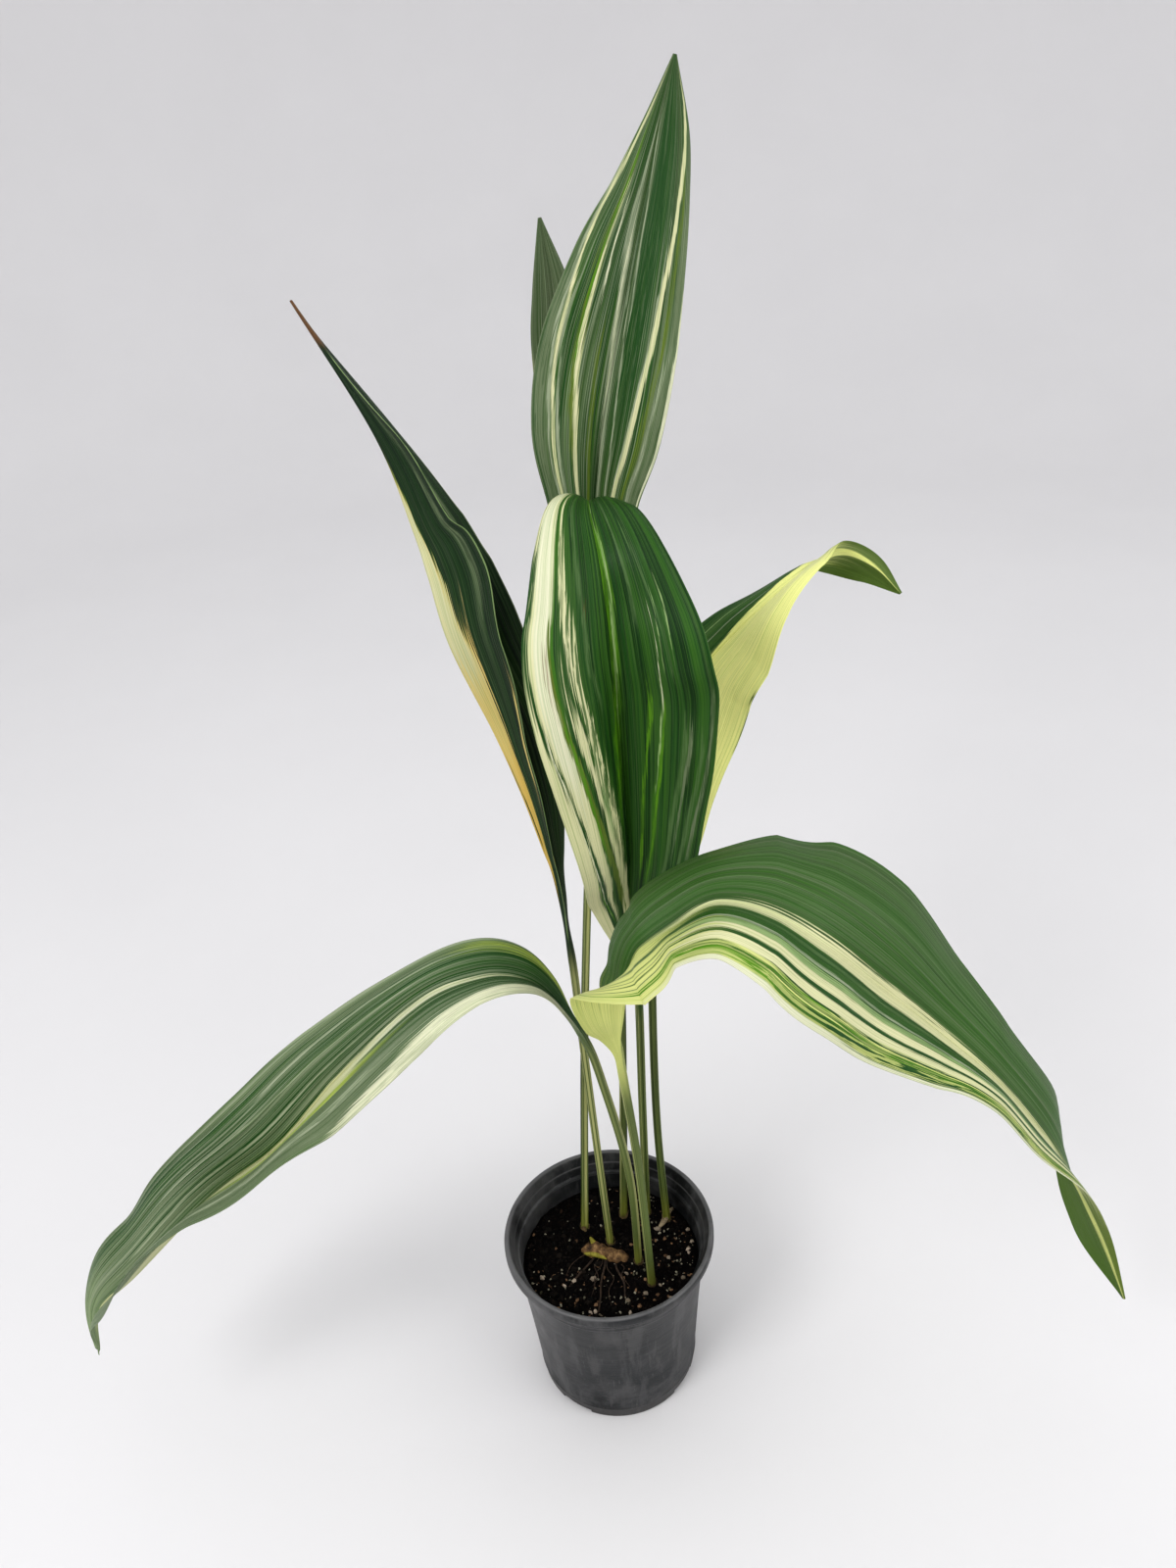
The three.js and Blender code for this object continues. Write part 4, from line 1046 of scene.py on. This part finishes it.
frontLeaf = {
    "stalkStations": 3, "wavePhase": 0, "waveHeight": 0.9,
    "stations": [
        (29, 34, 92, 3, 3, 0, -1, 0.2, 20), (31, 30, 216, 3, 3, 0, -1, 0.2, 20),
        (33, 24, 318, 3, 3, 0, -1, 0.2, 20), (31, 21, 353, 7, 14, 0, -1, 0.2, 21),
        (31, 19, 401, 25, 27, 0.1, -1, 0.2, 24), (32, 11, 445, 41, 42, 0.2, -0.9, 0.3, 34),
        (31, 1, 535, 57, 55, 0.2, -0.9, 0.4, 29), (30, -5, 573, 57, 53, 0.1, -0.8, 0.5, 27),
        (29, 0, 600, 49, 44, 0.1, -0.8, 0.6, 20), (27, 9, 625, 37, 33, 0.1, -0.7, 0.7, 13),
        (24, 32, 641, 24, 23, 0.1, -0.6, 0.8, 10), (24, 56, 640, 9, 11, 0.1, -0.5, 0.9, 12),
        (23, 74, 612, 1, 1, 0.1, -0.3, 0.9, 11),
    ],
    "seed": 3.7, "base": ("deepGreen", "darkGreen"), "lines": ("midGreen", 0.75, 0.5),
    "fine": ("softGreen", 0.45, 0.56), "warmth": 0.45,
    "stalk": 0.03, "back": ("greyGreen", 0.25),
    "streaks": [
        ("cream", 0.22, 0.92, (-0.42, -0.77, -0.86), (0.07, 0.17), 0.02, 0.05),
        ("cream", 0.14, 0.64, (0.02, -0.31, -0.58), (0.12, 0.045), 0.015, 0.15),
        ("paleCream", 0.5, 0.9, (-0.7, -0.8, -0.86), (0.08, 0.12), 0.04, 0.1),
        ("darkGreen", 0.12, 0.8, (-0.42, -0.85, -0.975), (0.105, 0.035), 0.015, 0.3),
        ("paleCream", 0.24, 0.62, (-0.58, -0.8, -0.9), (0.012, 0.01), 0.006, 0.5),
        ("brightGreen", 0.2, 0.6, (-0.5, -0.84, -0.93), (0.02, 0.012), 0.01, 0.6),
        ("cream", -0.02, 0.66, (-0.8, -0.9, -0.99), (0.32, 0.022), 0.03, 0.05),
        ("midGreen", 0.2, 0.4, (-0.34, -0.44, -0.54), (0.05, 0.02), 0.012, 0.55),
        ("oliveGreen", 0.22, 0.71, (-0.16, -0.56, -0.71), (0.06, 0.02), 0.01, 0.15),
        ("brightGreen", 0.38, 0.62, (-0.5, -0.6, -0.68), (0.022, 0.012), 0.01, 0.3),
        ("paleGreen", 0.4, 0.62, (-0.3, -0.37, -0.44), (0.05, 0.03), 0.03, 0.3),
        ("midGreen", 0.44, 0.66, (-0.38, -0.44, -0.5), (0.02, 0.02), 0.01, 0.55),
        ("midGreen", 0.34, 0.86, (-0.16, -0.38, -0.6), (0.08, 0.07), 0.02, 0.3),
        ("cream", 0.34, 0.78, (-0.16, -0.37, -0.58), (0.05, 0.04), 0.015, 0.85),
        ("leafGreen", 0.62, 0.88, (-0.66, -0.68, -0.62), (0.02, 0.03), 0.01, 0.3),
        ("cream", 0.68, 0.88, (-0.52, -0.6, -0.58), (0.03, 0.018), 0.01, 0.6),
        ("softGreen", 0.6, 0.86, (-0.22, -0.34, -0.42), (0.02, 0.03), 0.012, 0.6),
        ("brightGreen", 0.42, 0.87, (-0.1, 0, 0.03), (0.04, 0.05), 0.02, 0.55),
        ("paleGreen", 0.56, 0.86, (-0.02, 0.03, 0.03), (0.012, 0.018), 0.01, 0.75),
        ("brightGreen", 0.3, 0.6, (0.16, 0.22, 0.3), (0.02, 0.02), 0.012, 0.55),
        ("leafGreen", 0.26, 0.6, (0.24, 0.34, 0.42), (0.03, 0.025), 0.015, 0.3),
        ("brightGreen", 0.3, 0.62, (0.26, 0.37, 0.43), (0.01, 0.014), 0.008, 0.45),
        ("paleGreen", 0.46, 0.66, (0.34, 0.39, 0.43), (0.006, 0.01), 0.006, 0.55),
        ("paleCream", 0.6, 0.68, (0.41, 0.43, 0.44), (0.01, 0.008), 0.005, 0.2),
        ("softGreen", 0.68, 0.87, (0.27, 0.28, 0.26), (0.018, 0.018), 0.01, 0.5),
        ("softGreen", 0.64, 0.8, (0.56, 0.52, 0.46), (0.016, 0.02), 0.01, 0.5),
        ("paleGreen", 0.66, 0.73, (0.48, 0.5, 0.52), (0.008, 0.012), 0.006, 0.6),
        ("paleGreen", 0.67, 0.73, (0.6, 0.62, 0.64), (0.006, 0.01), 0.006, 0.6),
        ("softGreen", 0.28, 0.56, (0.48, 0.56, 0.66), (0.03, 0.03), 0.02, 0.3),
        ("softGreen", 0.28, 0.52, (0.66, 0.76, 0.84), (0.03, 0.02), 0.02, 0.3),
        ("greyGreen", 0.34, 0.54, (0.58, 0.64, 0.7), (0.016, 0.016), 0.01, 0.5),
        ("greyGreen", 0.34, 0.6, (0.82, 0.9, 0.95), (0.03, 0.02), 0.015, 0.5),
        ("dryBrown", 0.636, 0.648, (-0.74, -0.745, -0.75), (0.03, 0.03), 0.006, 0.6),
        ("dryBrown", 0.704, 0.708, (-0.3, -0.3, -0.3), (0.02, 0.02), 0.003, 0),
    ],
}
addLeaf("leaf_front", frontLeaf)

tallestLeaf = {
    "stalkStations": 4, "wavePhase": 1.2, "waveHeight": 0.75,
    "stations": [
        (11, 33, 92, 3, 3, 0, -0.9, 0.4, 20), (19, 49, 225, 3, 3, 0, -0.9, 0.4, 20),
        (24, 62, 340, 3, 3, 0, -0.9, 0.4, 20), (23, 73, 440, 3, 3, 0, -0.9, 0.4, 22),
        (24, 80, 505, 15, 16, 0, -0.9, 0.4, 26), (26, 90, 566, 25, 26, 0, -0.9, 0.4, 28),
        (28, 101, 622, 30, 28, 0, -0.9, 0.4, 31), (35, 103, 665, 42, 36, 0, -0.9, 0.4, 22),
        (46, 110, 708, 44, 36, 0, -0.9, 0.4, 19), (58, 116, 753, 34, 30, 0.1, -0.9, 0.4, 17),
        (68, 122, 787, 20, 24, 0.1, -0.9, 0.4, 15), (77, 127, 818, 9, 16, 0, -0.9, 0.4, 9),
        (86, 127, 848, 1, 1, 0, -0.9, 0.4, 6),
    ],
    "seed": 4.2, "base": ("darkGreen", "smokeGreen"), "lines": ("greyGreen", 0.75, 0.52),
    "fine": ("silverGreen", 0.6, 0.55), "warmth": 0.45,
    "stalk": 0, "back": ("greyGreen", 0.25),
    "streaks": [
        ("greyGreen", 0.3, 0.78, (-0.82, -0.86, -0.95), (0.14, 0.08), 0.05, 0.5),
        ("greyGreen", 0.3, 0.84, (0.8, 0.86, 0.95), (0.24, 0.08), 0.06, 0.5),
        ("darkGreen", 0.55, 0.98, (0.22, 0.3, 0.35), (0.16, 0.2), 0.08, 0.35),
        ("silverGreen", 0.34, 0.66, (0.66, 0.72, 0.84), (0.03, 0.03), 0.02, 0.6),
        ("oliveGreen", 0.36, 0.84, (0.52, 0.68, 0.86), (0.05, 0.03), 0.03, 0.5),
        ("oliveGreen", 0.5, 0.92, (-0.36, -0.52, -0.58), (0.05, 0.05), 0.03, 0.55),
        ("brightGreen", 0.6, 0.92, (-0.44, -0.54, -0.58), (0.025, 0.03), 0.012, 0.55),
        ("cream", 0.3, 0.64, (-0.26, -0.34, -0.43), (0.038, 0.024), 0.012, 0.25),
        ("cream", 0.58, 0.84, (-0.42, -0.49, -0.53), (0.026, 0.016), 0.01, 0.45),
        ("cream", 0.3, 0.88, (-0.62, -0.72, -0.96), (0.026, 0.022), 0.012, 0.35),
        ("silverGreen", 0.3, 0.86, (-0.68, -0.77, -0.98), (0.022, 0.022), 0.012, 0.5),
        ("silverGreen", 0.3, 0.7, (-0.52, -0.6, -0.74), (0.02, 0.02), 0.012, 0.5),
        ("cream", 0.82, 0.985, (-0.91, -0.87, -0.78), (0.03, 0.08), 0.015, 0.25),
        ("silverGreen", 0.54, 0.82, (0.03, -0.06, -0.14), (0.045, 0.055), 0.015, 0.35),
        ("paleCream", 0.6, 0.78, (-0.02, -0.07, -0.11), (0.016, 0.022), 0.01, 0.5),
        ("silverGreen", 0.78, 0.96, (-0.18, -0.17, -0.02), (0.05, 0.02), 0.012, 0.35),
        ("silverGreen", 0.3, 0.58, (0.1, 0.07, 0.02), (0.03, 0.025), 0.012, 0.4),
        ("silverGreen", 0.34, 0.72, (0.27, 0.2, 0.06), (0.018, 0.014), 0.01, 0.4),
        ("oliveGreen", 0.34, 0.66, (-0.12, -0.16, -0.22), (0.03, 0.03), 0.02, 0.4),
        ("silverGreen", 0.68, 0.94, (0.14, 0.09, 0.02), (0.014, 0.018), 0.008, 0.4),
        ("paleCream", 0.72, 0.84, (-0.34, -0.38, -0.42), (0.012, 0.016), 0.008, 0.5),
        ("cream", 0.3, 0.96, (0.34, 0.52, 0.93), (0.048, 0.035), 0.012, 0.06),
        ("silverGreen", 0.46, 0.8, (0.34, 0.48, 0.62), (0.012, 0.012), 0.008, 0.5),
        ("paleCream", 0.35, 0.75, (0.95, 0.97, 1), (0.02, 0.02), 0.01, 0.2),
    ],
}
addLeaf("leaf_tallest", tallestLeaf)

backLeaf = {
    "stalkStations": 3, "wavePhase": 3, "waveHeight": 0.75,
    "stations": [
        (-19, 22, 92, 3, 3, 0.3, -0.9, 0.3, 20), (-6, 65, 252, 3, 3, 0.3, -0.9, 0.3, 20),
        (8, 98, 389, 3, 3, 0.3, -0.9, 0.3, 21), (12, 108, 431, 9, 11, 0.3, -0.9, 0.3, 23),
        (12, 120, 485, 14, 22, 0.3, -0.9, 0.3, 21), (14, 139, 603, 15, 26, 0.3, -0.9, 0.3, 17),
        (15, 150, 697, 19, 20, 0.3, -0.9, 0.3, 14), (14, 153, 741, 13, 10, 0.3, -0.9, 0.3, 11),
        (10, 156, 776, 1, 1, 0.3, -0.9, 0.3, 5),
    ],
    "seed": 5.5, "base": ("smokeGreen", "greyGreen"), "lines": ("greyGreen", 0.7, 0.52),
    "fine": ("silverGreen", 0.5, 0.55), "warmth": 0.15,
    "stalk": -0.02, "back": ("greyGreen", 0.25),
    "streaks": [
        ("cream", 0.3, 0.8, (-0.9, -0.93, -0.97), (0.03, 0.02), 0.02, 0.3),
        ("silverGreen", 0.4, 0.96, (0.1, 0.06, 0), (0.02, 0.02), 0.015, 0.4),
        ("paleGreen", 0.2, 0.8, (0.3, 0.34, 0.4), (0.02, 0.02), 0.02, 0.3),
        ("cream", 0.15, 0.7, (0.7, 0.74, 0.8), (0.05, 0.03), 0.03, 0.3),
        ("silverGreen", 0.15, 0.95, (-0.4, -0.42, -0.4), (0.02, 0.02), 0.02, 0.3),
    ],
}
addLeaf("leaf_back", backLeaf)

narrowLeaf = {
    "stalkStations": 4, "wavePhase": 4, "waveHeight": 0.4,
    "stations": [
        (1, 9, 92, 3, 3, 0.9, -0.1, 0.4, 20), (-3, 14, 204, 3, 3, 0.9, -0.1, 0.4, 20),
        (-6, 22, 291, 3, 3, 0.9, -0.1, 0.4, 20), (-8, 27, 356, 3, 3, 0.9, -0.1, 0.4, 20),
        (-13, 26, 414, 5, 8, 0.9, -0.1, 0.4, 33), (-19, 30, 439, 9, 17, 0.9, -0.1, 0.5, 46),
        (-28, 32, 476, 16, 29, 0.9, -0.2, 0.5, 58), (-40, 36, 515, 23, 39, 0.8, -0.2, 0.5, 65),
        (-58, 29, 574, 37, 41, 0.9, -0.2, 0.5, 67), (-65, 34, 612, 41, 36, 0.9, -0.1, 0.3, 64),
        (-71, 44, 636, 33, 31, 1, -0.1, 0.2, 52), (-85, 54, 685, 21, 18, 1, 0.1, 0.1, 32),
        (-115, 47, 755, 3, 1, 1, 0.2, 0.1, 5),
    ],
    "seed": 6.8, "base": ("blackGreen", "deepGreen"), "lines": ("greyGreen", 0.22, 0.56),
    "fine": ("greyGreen", 0.25, 0.58), "warmth": 0.1,
    "stalk": 0.07, "back": ("blackGreen", 0.1), "tip": 0.945,
    "streaks": [
        # the first two greyGreen streaks are painted sheen on the very dark blade
        ("greyGreen", 0.58, 0.84, (-0.6, -0.66, -0.5), (0.06, 0.06), 0.05, 0.7),
        ("greyGreen", 0.6, 0.84, (0.56, 0.6, 0.46), (0.06, 0.06), 0.05, 0.7),
        ("oliveGreen", 0.5, 0.78, (-0.04, -0.01, 0), (0.27, 0.02), 0.012, 0.1),
        ("warmYellow", 0.16, 0.54, (-0.02, -0.04, -0.05), (0.2, 0.26), 0.015, 0.05),
        ("yellow", 0.36, 0.55, (-0.04, -0.05, -0.045), (0.22, 0.255), 0.03, 0.15),
        ("yellow", 0.5, 0.77, (-0.045, -0.02, 0), (0.26, 0.01), 0.015, 0),
        ("cream", 0.5, 0.76, (-0.05, -0.03, 0), (0.23, 0.01), 0.03, 0.15),
        ("deepGreen", 0.22, 0.34, (-0.1, -0.06, -0.03), (0.03, 0.01), 0.01, 0.1),
        ("deepGreen", 0.22, 0.32, (0.02, 0.01, 0), (0.02, 0.008), 0.01, 0.1),
        ("paleGreen", 0.05, 0.92, (-0.99, -0.99, -0.99), (0.018, 0.018), 0.01, 0.2),
        ("yellow", 0.3, 0.48, (-0.78, -0.84, -0.9), (0.05, 0.03), 0.02, 0.1),
        ("greyGreen", 0.05, 0.92, (0.99, 0.99, 0.99), (0.02, 0.02), 0.01, 0.3),
    ],
}
addLeaf("leaf_narrow", narrowLeaf)

rightTwistedLeaf = {
    "stalkStations": 4, "wavePhase": 5, "waveHeight": 0.5,
    "stations": [
        (44, 25, 92, 3, 3, -0.1, -0.9, 0.3, 20), (41, 38, 188, 3, 3, -0.1, -0.9, 0.3, 20),
        (43, 51, 285, 3, 3, -0.1, -0.9, 0.3, 20), (47, 58, 350, 3, 3, -0.1, -0.9, 0.3, 20),
        (52, 65, 405, 12, 26, -0.1, -0.9, 0.3, 19), (60, 72, 451, 20, 34, -0.1, -0.9, 0.4, 20),
        (70, 79, 489, 23, 40, 0, -0.9, 0.5, 19), (85, 85, 519, 22, 40, 0, -0.8, 0.7, 17),
        (105, 89, 540, 19, 37, 0.1, -0.5, 0.9, 10), (129, 95, 559, 16, 29, 0.1, 0, 1, 6),
        (154, 104, 574, 15, 21, 0.2, 0.4, 0.9, 5), (178, 117, 578, 20, 11, 0.1, 0.9, 0.5, 7),
        (199, 119, 568, 14, 7, 0.1, 1, 0.2, 5), (218, 121, 548, 1, 1, 0.1, 1, 0, 2),
    ],
    "seed": 7.4, "base": ("darkGreen", "midGreen"), "lines": ("softGreen", 0.6, 0.53),
    "fine": ("softGreen", 0.45, 0.56), "warmth": 0.3,
    "stalk": -0.04, "back": ("yellowGreen", 0.15),
    "streaks": [
        # the paintedGlowYellow streaks paint the glow of light shining through the yellow half of the blade
        ("paintedGlowYellow", 0.02, 0.58, (0.46, 0.46, 0.46), (0.6, 0.52), 0.02, 0),
        ("paintedGlowYellow", 0.56, 0.84, (0.46, 0.42, 0.2), (0.52, 0.9), 0.02, 0),
        ("cream", 0.74, 0.84, (0.3, 0.3, 0.1), (0.3, 0.6), 0.15, 0.2),
        ("darkGreen", 0.83, 1.05, (-0.6, -0.6, -0.6), (0.6, 0.58), 0.06, 0.2),
        ("softGreen", 0.85, 1.05, (0.62, 0.6, 0.6), (0.5, 0.5), 0.08, 0.3),
        ("paintedGlowYellow", 0.83, 0.97, (0.22, 0.14, 0.1), (0.24, 0.06), 0.06, 0.2),
        ("silverGreen", 0.3, 0.72, (-0.3, -0.36, -0.42), (0.012, 0.012), 0.01, 0.2),
        ("paleGreen", 0.3, 0.72, (-0.6, -0.62, -0.66), (0.012, 0.012), 0.01, 0.2),
    ],
}
addLeaf("leaf_right_twisted", rightTwistedLeaf)
